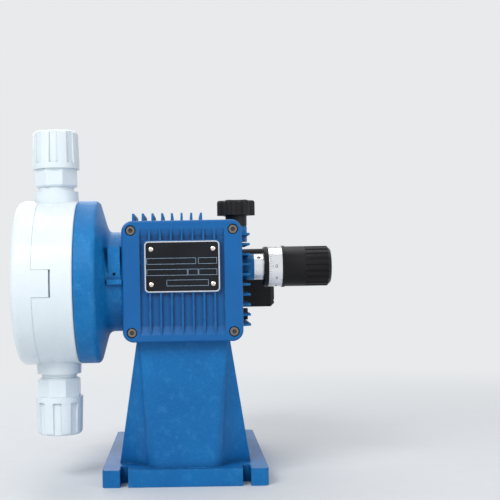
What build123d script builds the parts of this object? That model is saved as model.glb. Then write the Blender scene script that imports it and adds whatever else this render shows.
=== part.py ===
"""Motor-driven diaphragm metering pump: pump head at -X, gear case in the middle, stroke adjuster at +X.

The origin is on the underside of the base, below the middle of the gear case's cover. +Z is up, +X runs from
the pump head to the stroke knob, and the motor lies behind the gear case, along +Y. Millimetres.
"""

from build123d import *

import os
from math import cos, pi, radians, sin, tan

# Overall layout
AXIS_HEIGHT = 207.0  # push rod axis above the underside of the base
COVER_FRONT = -55.0  # front face of the gear case's cover, along Y
MOTOR_END = 240.0  # back of the fan cowl, along Y
HEAD_RADIUS = 85.0  # the pump head, and the flange that it is bolted to

# Fits and clearances
RUNNING_FIT = 0.05  # radial, between a sliding or turning piece and its bore
LOOSE_FIT = 0.15  # radial, between assembled pieces of one body
WORKING_GAP = 0.3  # between moving pieces that pass each other
CONTACT_GAP = 0.15  # left where two moving pieces meet at the end of a stroke
SHANK_CLEARANCE = 0.5  # radial, round a screw's shank
CUT_PAST = 1.0  # how far a cutter runs past the face that it opens
ROOT_SUNK = 1.0  # how far a rib, fin or boss starts inside the wall that carries it
HOLE_SPARE = 2.0  # a blind hole beyond the end of its screw

# Pedestal
BASE_WIDTH = 168.0
BASE_DEPTH = 258.0
BASE_FRONT = -50.0
BASE_THICKNESS = 17.5
BASE_CORNER = 5.0
TOWER_FRONT = -41.0
TOWER_FOOT_WIDTH = 136.0
TOWER_HEAD_WIDTH = 94.0
TOWER_FOOT_BACK = 150.0
TOWER_HEAD_BACK = 48.0
TOWER_WALL = 8.0
TOWER_ROOF = 10.0
SCOOP_FOOT_RADIUS = 32.0
SCOOP_HEAD_RADIUS = 2.0
SLOT_WIDTH = 8.3
SLOT_SPACING = 123.8
SLOT_REACH = 24.0
SCOOP_BLEND = 0.4  # rounding of the scoops' front arrises, as a share of their radius
PEDESTAL_SCREW_X = 28.0
PEDESTAL_SCREW_Y = (8.0, 32.0)
PEDESTAL_SCREW_RADIUS = 4.0
PEDESTAL_HEAD_RADIUS = 6.4
PEDESTAL_HEAD_HEIGHT = 8.0

# Gear case
CASE_HALF_HEIGHT = 58.0
CASE_RIGHT = 60.0
CASE_LEFT = -60.8
CASE_BACK = 62.0
CASE_CORNER = 8.0
CASE_WALL = 10.0
CASE_FLOOR = 12.0
GEAR_ROOM_LEFT = -52.0
FIN_HEIGHT = 11.0
FIN_SIDE_REACH = 9.0
FIN_ROOT = 3.0
FIN_TIP = 2.0
TOP_FIN_COUNT = 8
TOP_FIN_PITCH = 9.85
TOP_FIN_FIRST = -49.0
SIDE_FIN_COUNT = 10
SIDE_FIN_PITCH = 10.24
SIDE_FIN_FIRST = 46.6

# Neck and flange that carry the pump head
NECK_RADIUS = 52.0
NECK_END = -76.0
FLANGE_ROOT = (-79.0, 60.0)  # where the flange's sloping back meets the round into the neck
FLANGE_ROOT_BLEND = 7.0
FLANGE_RADIUS = HEAD_RADIUS
FLANGE_SHOULDER = (-86.0, FLANGE_RADIUS)  # where the sloping back would meet the rim
FLANGE_SHOULDER_BLEND = 5.0
FLANGE_FACE = -107.0
FLANGE_RIM_EDGE = 1.0
AIR_ROOM_RADIUS = FLANGE_RADIUS - 29.0
AIR_ROOM_END = -96.0
NECK_RIB = 5.0
NECK_PAD_HEIGHT = 36.0  # flat pad above the rib on the neck's front
NECK_PAD_REACH = 53.0
NECK_PAD_MARGIN = 3.0
BREATHER_RADIUS = 1.5
BREATHER_RISE = 8.0
DRIP_HOLE_RADIUS = 3.0

# Gear case cover
COVER_WIDTH = 121.0
COVER_HEIGHT = 122.0
COVER_CORNER = 11.0
COVER_THICKNESS = 14.0
COVER_EDGE = 2.2
GASKET_THICKNESS = 0.5
COVER_SCREW_SPACING = 102.6
COVER_COUNTERBORE = 10.5
COVER_HEAD_DIAMETER = 8.5
COVER_HEAD_HEIGHT = 5.0
COVER_HEAD_DEPTH = 6.0
COVER_SHANK_RADIUS = 2.5
SCREW_REACH = 10.0
HEX_SOCKET = 4.0
GROOVE_COUNT = 8
GROOVE_PITCH = 10.85
GROOVE_WIDTH = 8.85
GROOVE_DEPTH = 3.5
GROOVE_TOP = 53.0
GROOVE_BOTTOM = -54.0
GROOVE_RAMP = 9.0
PLATE_WIDTH = 75.0
PLATE_HEIGHT = 51.0
PLATE_THICKNESS = 1.0
PLATE_CORNER = 4.0
PLATE_MARGIN = 1.0
PLATE_RISE = 14.5
RIVET_X = 31.0
RIVET_Z = 17.6
RIVET_RADIUS = 2.7
RIVET_SHANK = 1.5
RIVET_LENGTH = 5.4

# Oil filler and drain
FILLER_X = 58.0
FILLER_Y = 12.0
FILLER_NECK_RADIUS = 11.3
FILLER_SEAT = 56.0
FILLER_CAP_FOOT = 68.0
FILLER_CAP_HEIGHT = 16.0
FILLER_CAP_RADIUS = 20.0
FILLER_CAP_EDGE = 2.5
FILLER_LOBE_EDGE = 2.0
FILLER_PLUG_RADIUS = 7.0
FILLER_LOBES = 6
FILLER_LOBE_CUT = 9.0
FILLER_BORE_RADIUS = 8.0
FILLER_BORE_DEPTH = 16.0
FILLER_SEAL_THICKNESS = 1.6
FILLER_CLEARANCE = 1.0  # between the cap and the fins round it
DRAIN_RADIUS = 7.0
DRAIN_RISE = -36.0
DRAIN_HEX_START = 2.0
DRAIN_HEX_HEIGHT = 6.0

# Pump head
HEAD_FACE = -107.5
HEAD_END = -147.5
HEAD_EDGE = 1.0
HEAD_COVER_RADIUS = HEAD_RADIUS + 0.5
HEAD_COVER_END = -169.0
HEAD_COVER_EDGE = 7.0
DIAPHRAGM_INSET = 17.0  # from the rim of the head
DIAPHRAGM_RADIUS = HEAD_RADIUS - DIAPHRAGM_INSET
DIAPHRAGM_THICKNESS = 3.0
CLAMPED_WIDTH = 12.0  # of the diaphragm's rim, between flange and head
LIQUID_ROOM_RADIUS = DIAPHRAGM_RADIUS - CLAMPED_WIDTH
LIQUID_ROOM_DEPTH = 8.0
LIQUID_ROOM_FLOOR = 33.6
VALVE_X = -131.0
BOSS_RISE = 10.0  # beyond the head's rim
BOSS_REACH = HEAD_RADIUS + BOSS_RISE
BOSS_RADIUS = 23.0
BOSS_ROOT_RADIUS = 24.5
BOSS_DEPTH = 23.0  # inside the head's rim
BOSS_ROOT = HEAD_RADIUS - BOSS_DEPTH
PORT_RADIUS = 6.0
HEAD_BOLT_INSET = 11.0  # from the rim of the head
HEAD_BOLT_CIRCLE = HEAD_RADIUS - HEAD_BOLT_INSET
HEAD_BOLT_COUNT = 8
HEAD_BOLT_START = 22.5
HEAD_BOLT_RADIUS = 4.0
HEAD_BOLT_HEAD = 6.5
HEAD_BOLT_HEAD_HEIGHT = 8.0
HEAD_BOLT_DEPTH = 11.0
HEAD_BOLT_REACH = 18.0  # into the flange
HEAD_BOLT_SOCKET = 3.0
TAB_HEIGHT = 27.0
TAB_LENGTH = 17.0
TAB_DEPTH = 5.0
TAB_SLOT = 1.7

# Valves, from the boss face outwards, the same above and below
SPIGOT_RADIUS = 15.0
SPIGOT_LENGTH = 10.0
COLLAR_RADIUS = 18.5
COLLAR_LENGTH = 4.5
NUT_ACROSS_CORNERS = 46.0
NUT_LENGTH = 19.1
NUT_CHAMFER = 2.0
UNION_RADIUS = 20.0
UNION_LENGTH = 9.4
VALVE_ROOM_RADIUS = 11.0
SEAT_RADIUS = 12.0
SEAT_HOLE_RADIUS = 6.0
BALL_RADIUS = 9.0
BALL_LIFT = 3.0
BALL_SEAT_GAP = 0.1
DISCHARGE_SEAT_RISE = BOSS_REACH - 1.0
SUCTION_SEAT_RISE = -(BOSS_REACH + 15.0)
BALL_STOP_SPARE = 3.0  # above the ball at the top of its lift
SEAL_THICKNESS = 1.0
SEAL_RADIUS = 19.0
TAIL_RADIUS = 16.0
TAIL_FLANGE = 4.5
TAIL_BORE_RADIUS = 8.0
SOCKET_RADIUS = 12.5
SOCKET_DEPTH = 19.0
CAP_INNER_RADIUS = 24.5
CAP_OUTER_RADIUS = 23.5
CAP_LENGTH = 39.9
CAP_RING = 6.0
CAP_EDGE = 4.0
CAP_RIBS = 8
CAP_RIB_WIDTH = 10.0
CAP_RIB_DEPTH = 1.3

# Worm drive
MODULE = 1.6
DEDENDUM = 1.25  # depth of a tooth below the pitch circle, in modules
WORM_PITCH_RADIUS = 9.0
WHEEL_TEETH = 24
WORM_DROP = -14.0  # worm and motor axis, below the push rod axis
WORM_TURNS = 8
WORM_RUN_OUT = 3.0  # plain root beyond each end of the thread
PRESSURE_ANGLE = 20.0
WORM_ROOT_RADIUS = 7.0
WORM_FRONT_RADIUS = 6.0
SHAFT_RADIUS = 8.5
THREAD_CLEARANCE = 0.35  # along the axis, on each flank
WHEEL_WIDTH = 8.0
WHEEL_SHAFT_RADIUS = 8.0
ECCENTRICITY = 2.0
STROKE = 2 * ECCENTRICITY
JOURNAL_RADIUS = 7.0
JOURNAL_SPARE = 0.5
SHAFT_COLLAR_RADIUS = 10.0
BEARING_RADIUS = 12.0
BEARING_WIDTH = 12.0
POST_RADIUS = 18.0
POST_GAP = 2.0  # between the post and the worm wheel
SHAFT_BEARING_RADIUS = 14.0
SHAFT_BEARING_WIDTH = 9.0
FRONT_BEARING_RADIUS = 12.0
FRONT_BEARING_WIDTH = 9.0
FRONT_POST_RADIUS = 17.0
FRONT_POST_LENGTH = 13.0
BEARING_INSET = 1.0
REAR_BEARING_RADIUS = 16.0
REAR_BEARING_WIDTH = 10.0

# Push rod and its spring
ROD_RADIUS = 7.0
FOLLOWER_THICKNESS = 5.0
FOLLOWER_WIDTH = 24.0
FOLLOWER_BOTTOM = -8.5
FOLLOWER_TOP = 19.0
FOLLOWER_CORNER = 3.0
BUSH_RADIUS = 11.0
SPRING_ROOM_RADIUS = 22.0
SPRING_ROOM_RIGHT = -62.0
SPRING_ROOM_LEFT = -92.0
SPRING_RADIUS = 15.0
SPRING_WIRE = 3.0
SPRING_TURNS = 4
COLLET_THICKNESS = 3.0
COLLET_RADIUS = 18.0
COLLET_FACE = -70.0
SUPPORT_PLATE_RADIUS = 36.0
SUPPORT_PLATE_THICKNESS = 4.0
STUD_RADIUS = 4.0
STUD_LENGTH = 5.0
DIAPHRAGM_BUTTON = 4.0  # boss in the middle of the diaphragm

# Stroke adjuster
ADJUSTER_RISE = 13.2
STOP_ROD_RADIUS = 4.0
ADJUSTER_BOSS_RADIUS = 13.75
ADJUSTER_BOSS_END = 75.0
SLEEVE_RADIUS = 13.5
SLEEVE_SPIGOT_RADIUS = 10.0
SLEEVE_END = 100.0
DRUM_START = 85.0
DRUM_RING_END = 90.0
DRUM_END = 104.0
DRUM_RADIUS = 21.0
KNOB_LIP_END = 107.0
KNOB_LIP_RADIUS = 21.75
KNOB_END = 155.0
GRIP_START = 128.0
GRIP_FLUTES = 20
GRIP_FLUTE_RADIUS = 2.2
GRIP_FLUTE_DEPTH = 1.1
KNOB_CHAMFER = 3.5
KNOB_END_WALL = 10.0
DRUM_EDGE = 1.0
LOCK_SCREW_X = 80.0
LOCK_SCREW_RADIUS = 2.0
LOCK_SCREW_ANGLE = 45.0
LOCK_SCREW_START = 6.0  # from the adjuster's axis
LOCK_SCREW_LENGTH = 6.5

# Motor
MOTOR_FLANGE_RADIUS = 57.0
MOTOR_FLANGE_END = 80.0
FAN_INSET = 24.0  # back of the fan, inside the end of the cowl
FAN_LENGTH = 14.0
FAN_GAP = 8.0  # between the rear end shield and the fan
REAR_SHIELD_LENGTH = 12.0
COWL_LAP = 6.0  # the cowl's mouth over the rear end shield
WINDINGS_SPACE = 17.0  # from the core to the rear end shield
FAN_END = MOTOR_END - FAN_INSET
FAN_START = FAN_END - FAN_LENGTH
REAR_SHIELD_END = FAN_START - FAN_GAP
FRAME_END = REAR_SHIELD_END - REAR_SHIELD_LENGTH
COWL_START = REAR_SHIELD_END - COWL_LAP
STATOR_END = FRAME_END - WINDINGS_SPACE
FRAME_RADIUS = 50.0
FRAME_WALL = 5.0
FRAME_FINS = 28
FRAME_FIN_TIP = 57.0
FRAME_FIN_WIDTH = 2.5
STATOR_START = MOTOR_FLANGE_END + 20.0
STATOR_BORE = 29.0
ROTOR_RADIUS = 28.5
WINDING_RADIUS = 40.0
WINDING_BORE = 31.0
WINDING_LENGTH = 12.0
FAN_RADIUS = 46.0
FAN_HUB_RADIUS = 14.0
FAN_BLADES = 8
FAN_BLADE = 2.0  # thickness of the blades and of the disc that carries them
COWL_RADIUS = 58.0
COWL_WALL = 1.5
COWL_EDGE = 6.0
GRILLE_RINGS = 5
GRILLE_PITCH = 9.0
GRILLE_SLOT = 5.0
GRILLE_SPOKES = 6
GRILLE_SPOKE = 3.5
GRILLE_FIRST = 8.0
PAD_HALF_WIDTH = 24.0
PAD_LENGTH = 56.0
BOX_START = 58.0
BOX_SPLIT = 96.0
BOX_OUTER = 104.0
BOX_LENGTH = 80.0
BOX_FRONT = (MOTOR_FLANGE_END + FRAME_END - BOX_LENGTH) / 2 - 3.0
BOX_BOTTOM = -32.0
BOX_TOP = 34.0
BOX_WALL = 3.0
BOX_CORNER = 5.0
LID_CHAMFER = 4.0
LID_SCREW_INSET = 7.0
LID_SCREW_RADIUS = 3.5
LID_SCREW_HEIGHT = 3.0
LID_SCREW_SLOT = 1.0
GLAND_RADIUS = 10.0
GLAND_LENGTH = 22.0
GLAND_HEX_RADIUS = 11.5
GLAND_HEX_LENGTH = 6.6
GLAND_NECK_RADIUS = 8.0
GLAND_EDGE = 3.0
GLAND_BORE = 4.5

os.makedirs("parts", exist_ok=True)

# Planes and axes that the pieces share
pump_axis = Axis((0, 0, AXIS_HEIGHT), (1, 0, 0))
pump_section = Plane(origin=(0, 0, AXIS_HEIGHT), x_dir=(1, 0, 0), z_dir=(0, -1, 0))
worm_height = AXIS_HEIGHT + WORM_DROP
motor_axis = Axis((0, 0, worm_height), (0, 1, 0))
motor_section = Plane(origin=(0, 0, worm_height), x_dir=(0, 1, 0), z_dir=(1, 0, 0))
wheel_x = -(WORM_PITCH_RADIUS + MODULE * WHEEL_TEETH / 2)
adjuster_height = AXIS_HEIGHT + ADJUSTER_RISE


def across_x(x, height=AXIS_HEIGHT):
    """A plane square to X: its own x is along Y, its own y is up, and it faces +X."""
    return Plane(origin=(x, 0, height), x_dir=(0, 1, 0), z_dir=(1, 0, 0))


def across_y(y, height=AXIS_HEIGHT):
    """A plane square to Y: its own x is along X, its own y is up, and it faces the front, -Y."""
    return Plane(origin=(0, y, height), x_dir=(1, 0, 0), z_dir=(0, -1, 0))


def across_z(x, y, rise):
    """A level plane at this rise above the push rod axis."""
    return Plane(origin=(x, y, AXIS_HEIGHT + rise))


def disc(plane, radius, length, mode=Mode.ADD):
    """A round bar or bore from this plane, in the block that is open."""
    with BuildSketch(plane) as outline:
        Circle(radius)
    extrude(outline.sketch, amount=length, mode=mode)


def tube(plane, outer, inner, length):
    """A ring from this plane, in the block that is open."""
    with BuildSketch(plane) as outline:
        Circle(outer)
        Circle(inner, mode=Mode.SUBTRACT)
    extrude(outline.sketch, amount=length)


def turned(section, axis, outline, mode=Mode.ADD):
    """An outline in this section, turned about the axis, in the block that is open."""
    with BuildSketch(section) as half:
        with BuildLine():
            Polyline(*outline, close=True)
        make_face()
    revolve(half.sketch, axis=axis, mode=mode)


def write(name, piece):
    """Label one finished piece and write its file."""
    piece.label = name
    export_step(piece, f"parts/{name}.step")


# ---------------------------------------------------------------- pedestal
tower_top = AXIS_HEIGHT - CASE_HALF_HEIGHT
scoop_foot_x = TOWER_FOOT_WIDTH / 2
scoop_head_x = TOWER_HEAD_WIDTH / 2


def tower_slab(height, width, front, back):
    """One level section of the tower or of the hollow in it."""
    with BuildSketch(Plane.XY.offset(height)) as slab:
        with Locations((0, (front + back) / 2)):
            Rectangle(width, back - front)
    return slab.sketch


def scoop(height, side, corner_x, radius):
    """One level section of the scoop in a front corner of the tower, rounded into the tower's front."""
    with BuildSketch(Plane.XY.offset(height)) as hollow:
        with Locations((side * corner_x, TOWER_FRONT)):
            Circle(radius)
        with Locations((side * (corner_x - 0.4 * radius), TOWER_FRONT - radius / 4)):
            Rectangle(3.2 * radius, radius / 2)
        arris = hollow.vertices().sort_by_distance((side * (corner_x - radius), TOWER_FRONT, 0))[0]
        fillet(arris, SCOOP_BLEND * radius)
    return hollow.sketch


with BuildPart() as pedestal:
    with BuildSketch(Plane.XY):
        with Locations((0, BASE_FRONT + BASE_DEPTH / 2)):
            RectangleRounded(BASE_WIDTH, BASE_DEPTH, BASE_CORNER)
    extrude(amount=BASE_THICKNESS)
    tower_foot = tower_slab(BASE_THICKNESS, TOWER_FOOT_WIDTH, TOWER_FRONT, TOWER_FOOT_BACK)
    tower_head = tower_slab(tower_top, TOWER_HEAD_WIDTH, TOWER_FRONT, TOWER_HEAD_BACK)
    loft([tower_foot, tower_head])
    # hollow cored from below
    core_foot = tower_slab(0, TOWER_FOOT_WIDTH - 2 * TOWER_WALL, 0, TOWER_FOOT_BACK - TOWER_WALL)
    core_head = tower_slab(
        tower_top - TOWER_ROOF, TOWER_HEAD_WIDTH - 2 * TOWER_WALL, 0, TOWER_HEAD_BACK - TOWER_WALL
    )
    loft([core_foot, core_head], mode=Mode.SUBTRACT)
    # scooped front corners that leave room for a spanner over the foundation bolts
    for side in (-1, 1):
        scoop_foot = scoop(BASE_THICKNESS, side, scoop_foot_x, SCOOP_FOOT_RADIUS)
        scoop_head = scoop(tower_top, side, scoop_head_x, SCOOP_HEAD_RADIUS)
        loft([scoop_foot, scoop_head], mode=Mode.SUBTRACT)
    # open-ended slots at the four corners
    with BuildSketch(Plane.XY):
        for end, inward in ((BASE_FRONT, 1), (BASE_FRONT + BASE_DEPTH, -1)):
            with Locations((-SLOT_SPACING / 2, end), (SLOT_SPACING / 2, end)):
                SlotCenterToCenter(2 * (SLOT_REACH - SLOT_WIDTH / 2), SLOT_WIDTH, rotation=90)
    extrude(amount=BASE_THICKNESS, mode=Mode.SUBTRACT)
    # screw holes through the roof, up into the gear case
    with BuildSketch(Plane.XY.offset(tower_top - TOWER_ROOF)):
        for y in PEDESTAL_SCREW_Y:
            with Locations((-PEDESTAL_SCREW_X, y), (PEDESTAL_SCREW_X, y)):
                Circle(PEDESTAL_SCREW_RADIUS + SHANK_CLEARANCE)
    extrude(amount=TOWER_ROOF, mode=Mode.SUBTRACT)
write("pedestal", pedestal.part)

with BuildPart() as pedestal_screws:
    head_bottom = tower_top - TOWER_ROOF - PEDESTAL_HEAD_HEIGHT
    for y in PEDESTAL_SCREW_Y:
        for x in (-PEDESTAL_SCREW_X, PEDESTAL_SCREW_X):
            with BuildSketch(Plane(origin=(x, y, head_bottom))):
                RegularPolygon(PEDESTAL_HEAD_RADIUS, 6)
            extrude(amount=PEDESTAL_HEAD_HEIGHT)
            disc(
                Plane(origin=(x, y, tower_top - TOWER_ROOF)),
                PEDESTAL_SCREW_RADIUS,
                TOWER_ROOF + CASE_FLOOR - HOLE_SPARE,
            )
write("pedestal_screws", pedestal_screws.part)

# ---------------------------------------------------------------- gear case
case_front = COVER_FRONT + COVER_THICKNESS + GASKET_THICKNESS
case_bottom = -CASE_HALF_HEIGHT
case_depth = CASE_BACK - case_front


def case_fin(plane, reach):
    """One tapered fin the length of the case, standing on this plane's x axis, in the block that is open."""
    with BuildSketch(plane) as profile:
        with BuildLine():
            Polyline(
                (-FIN_ROOT / 2, -ROOT_SUNK),
                (FIN_ROOT / 2, -ROOT_SUNK),
                (FIN_TIP / 2, reach),
                (-FIN_TIP / 2, reach),
                close=True,
            )
        make_face()
    extrude(profile.sketch, amount=-case_depth)


with BuildPart() as gear_case:
    with BuildSketch(across_y(case_front)):
        with Locations(((CASE_LEFT + CASE_RIGHT) / 2, 0)):
            RectangleRounded(CASE_RIGHT - CASE_LEFT, 2 * CASE_HALF_HEIGHT, CASE_CORNER)
    extrude(amount=-case_depth)
    # neck and flange, turned about the push rod axis
    with BuildSketch(pump_section) as neck_half:
        with BuildLine():
            Polyline(
                (CASE_LEFT, 0),
                (CASE_LEFT, NECK_RADIUS),
                (NECK_END, NECK_RADIUS),
                FLANGE_ROOT,
                FLANGE_SHOULDER,
                (FLANGE_FACE + FLANGE_RIM_EDGE, FLANGE_RADIUS),
                (FLANGE_FACE, FLANGE_RADIUS - FLANGE_RIM_EDGE),
                (FLANGE_FACE, 0),
                close=True,
            )
        make_face()
        root = neck_half.vertices().sort_by_distance((NECK_END, NECK_RADIUS, 0))[0]
        fillet(root, FLANGE_ROOT_BLEND)
        shoulder = neck_half.vertices().sort_by_distance((*FLANGE_SHOULDER, 0))[0]
        fillet(shoulder, FLANGE_SHOULDER_BLEND)
    revolve(neck_half.sketch, axis=pump_axis)
    # level ribs on the neck, front and back, and a flat pad with a breather hole above the front one
    with BuildSketch(across_x(CASE_LEFT)):
        Rectangle(2 * (NECK_RADIUS + NECK_RIB), NECK_RIB)
    extrude(amount=NECK_END - CASE_LEFT)
    with BuildSketch(across_y(-NECK_PAD_REACH)):
        with Locations(((CASE_LEFT + NECK_END) / 2, NECK_PAD_HEIGHT / 2)):
            Rectangle(CASE_LEFT - NECK_END - NECK_PAD_MARGIN, NECK_PAD_HEIGHT)
    extrude(amount=-NECK_PAD_REACH + SPRING_ROOM_RADIUS)
    breather_mouth = ((CASE_LEFT + NECK_END) / 2, -NECK_PAD_REACH, AXIS_HEIGHT + BREATHER_RISE)
    disc(
        Plane(origin=breather_mouth, z_dir=(0, 1, 0)),
        BREATHER_RADIUS,
        HOLE_SPARE * 2,
        Mode.SUBTRACT,
    )
    # cooling fins along the top and the right side
    for number in range(TOP_FIN_COUNT):
        case_fin(
            Plane(
                origin=(TOP_FIN_FIRST + number * TOP_FIN_PITCH, case_front, AXIS_HEIGHT + CASE_HALF_HEIGHT),
                x_dir=(1, 0, 0),
                z_dir=(0, -1, 0),
            ),
            FIN_HEIGHT,
        )
    for number in range(SIDE_FIN_COUNT):
        case_fin(
            Plane(
                origin=(CASE_RIGHT, case_front, AXIS_HEIGHT + SIDE_FIN_FIRST - number * SIDE_FIN_PITCH),
                x_dir=(0, 0, -1),
                z_dir=(0, -1, 0),
            ),
            FIN_SIDE_REACH,
        )
    # bosses for the oil filler and the stroke adjuster
    disc(across_z(FILLER_X, FILLER_Y, FILLER_SEAT - FILLER_BORE_DEPTH), FILLER_NECK_RADIUS, FILLER_BORE_DEPTH)
    disc(
        across_x(CASE_RIGHT - ROOT_SUNK, adjuster_height),
        ADJUSTER_BOSS_RADIUS,
        ADJUSTER_BOSS_END - CASE_RIGHT + ROOT_SUNK,
    )
    # gear room, open at the front
    room_right = CASE_RIGHT - CASE_WALL
    room_top = CASE_HALF_HEIGHT - CASE_WALL
    room_bottom = case_bottom + CASE_FLOOR
    with BuildSketch(across_y(case_front)):
        with Locations(((GEAR_ROOM_LEFT + room_right) / 2, (room_top + room_bottom) / 2)):
            RectangleRounded(room_right - GEAR_ROOM_LEFT, room_top - room_bottom, CASE_CORNER)
    extrude(amount=-(case_depth - CASE_FLOOR), mode=Mode.SUBTRACT)
    # post for the wheel shaft's bearings
    post_top = WORM_DROP - WHEEL_WIDTH / 2 - POST_GAP
    disc(across_z(wheel_x, 0, room_bottom - ROOT_SUNK), POST_RADIUS, post_top - room_bottom + ROOT_SUNK)
    disc(across_z(wheel_x, 0, room_bottom), SHAFT_BEARING_RADIUS, post_top - room_bottom, Mode.SUBTRACT)
    # bore for the worm's rear bearing and the motor's spigot
    disc(across_y(CASE_BACK, worm_height), REAR_BEARING_RADIUS, CASE_FLOOR, Mode.SUBTRACT)
    # room for the spring, the rod's bush, and the air side of the diaphragm
    disc(across_x(SPRING_ROOM_LEFT), SPRING_ROOM_RADIUS, SPRING_ROOM_RIGHT - SPRING_ROOM_LEFT, Mode.SUBTRACT)
    disc(across_x(SPRING_ROOM_RIGHT), BUSH_RADIUS, GEAR_ROOM_LEFT - SPRING_ROOM_RIGHT, Mode.SUBTRACT)
    disc(across_x(AIR_ROOM_END), SPRING_ROOM_RADIUS, SPRING_ROOM_LEFT - AIR_ROOM_END, Mode.SUBTRACT)
    disc(across_x(FLANGE_FACE), AIR_ROOM_RADIUS, AIR_ROOM_END - FLANGE_FACE, Mode.SUBTRACT)
    # drip hole at the bottom of the flange
    disc(
        across_z((FLANGE_FACE + AIR_ROOM_END) / 2, 0, -FLANGE_RADIUS - CUT_PAST),
        DRIP_HOLE_RADIUS,
        FLANGE_RADIUS - AIR_ROOM_RADIUS + DRIP_HOLE_RADIUS,
        Mode.SUBTRACT,
    )
    # spot face for the filler cap, clear of the fins, and the filler bore
    disc(
        across_z(FILLER_X, FILLER_Y, FILLER_SEAT),
        FILLER_NECK_RADIUS + FILLER_CLEARANCE,
        FIN_HEIGHT * 2,
        Mode.SUBTRACT,
    )
    disc(
        across_z(FILLER_X, FILLER_Y, FILLER_CAP_FOOT - FILLER_CLEARANCE),
        FILLER_CAP_RADIUS + FILLER_CLEARANCE,
        FIN_HEIGHT,
        Mode.SUBTRACT,
    )
    disc(
        across_z(FILLER_X, FILLER_Y, FILLER_SEAT - FILLER_BORE_DEPTH),
        FILLER_BORE_RADIUS,
        FILLER_BORE_DEPTH + CUT_PAST,
        Mode.SUBTRACT,
    )
    # bore for the stroke adjuster's sleeve and stop rod
    disc(
        across_x(room_right - CUT_PAST, adjuster_height),
        SLEEVE_SPIGOT_RADIUS,
        ADJUSTER_BOSS_END,
        Mode.SUBTRACT,
    )
    # tapped holes for the cover, the pedestal, the head and the motor
    with BuildSketch(across_y(case_front)):
        with GridLocations(COVER_SCREW_SPACING, COVER_SCREW_SPACING, 2, 2):
            Circle(COVER_SHANK_RADIUS + LOOSE_FIT)
    extrude(amount=-SCREW_REACH - HOLE_SPARE, mode=Mode.SUBTRACT)
    for y in PEDESTAL_SCREW_Y:
        for x in (-PEDESTAL_SCREW_X, PEDESTAL_SCREW_X):
            disc(
                across_z(x, y, case_bottom),
                PEDESTAL_SCREW_RADIUS + LOOSE_FIT,
                CASE_FLOOR - HOLE_SPARE / 2,
                Mode.SUBTRACT,
            )
    with BuildSketch(across_x(FLANGE_FACE)):
        with PolarLocations(HEAD_BOLT_CIRCLE, HEAD_BOLT_COUNT, HEAD_BOLT_START):
            Circle(HEAD_BOLT_RADIUS + LOOSE_FIT)
    extrude(amount=HEAD_BOLT_REACH + HOLE_SPARE, mode=Mode.SUBTRACT)
    # drain at the foot of the back wall's right side
    disc(
        across_x(room_right, AXIS_HEIGHT + DRAIN_RISE),
        DRAIN_RADIUS,
        CASE_WALL + FIN_SIDE_REACH,
        Mode.SUBTRACT,
    )
write("gear_case", gear_case.part)

# ---------------------------------------------------------------- gear case cover
cover_back = COVER_FRONT + COVER_THICKNESS


def cover_holes(radius, plane, length):
    """The cover's four screw holes, cut in the block that is open."""
    with BuildSketch(plane) as holes:
        with GridLocations(COVER_SCREW_SPACING, COVER_SCREW_SPACING, 2, 2):
            Circle(radius)
    extrude(holes.sketch, amount=length, mode=Mode.SUBTRACT)


with BuildPart() as cover_gasket:
    with BuildSketch(across_y(case_front)):
        with Locations(((CASE_LEFT + CASE_RIGHT) / 2, 0)):
            RectangleRounded(CASE_RIGHT - CASE_LEFT, 2 * CASE_HALF_HEIGHT, CASE_CORNER)
        with Locations(((GEAR_ROOM_LEFT + room_right) / 2, (room_top + room_bottom) / 2)):
            RectangleRounded(
                room_right - GEAR_ROOM_LEFT, room_top - room_bottom, CASE_CORNER, mode=Mode.SUBTRACT
            )
        with GridLocations(COVER_SCREW_SPACING, COVER_SCREW_SPACING, 2, 2):
            Circle(COVER_SHANK_RADIUS + SHANK_CLEARANCE, mode=Mode.SUBTRACT)
    extrude(amount=GASKET_THICKNESS)
write("cover_gasket", cover_gasket.part)

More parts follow.
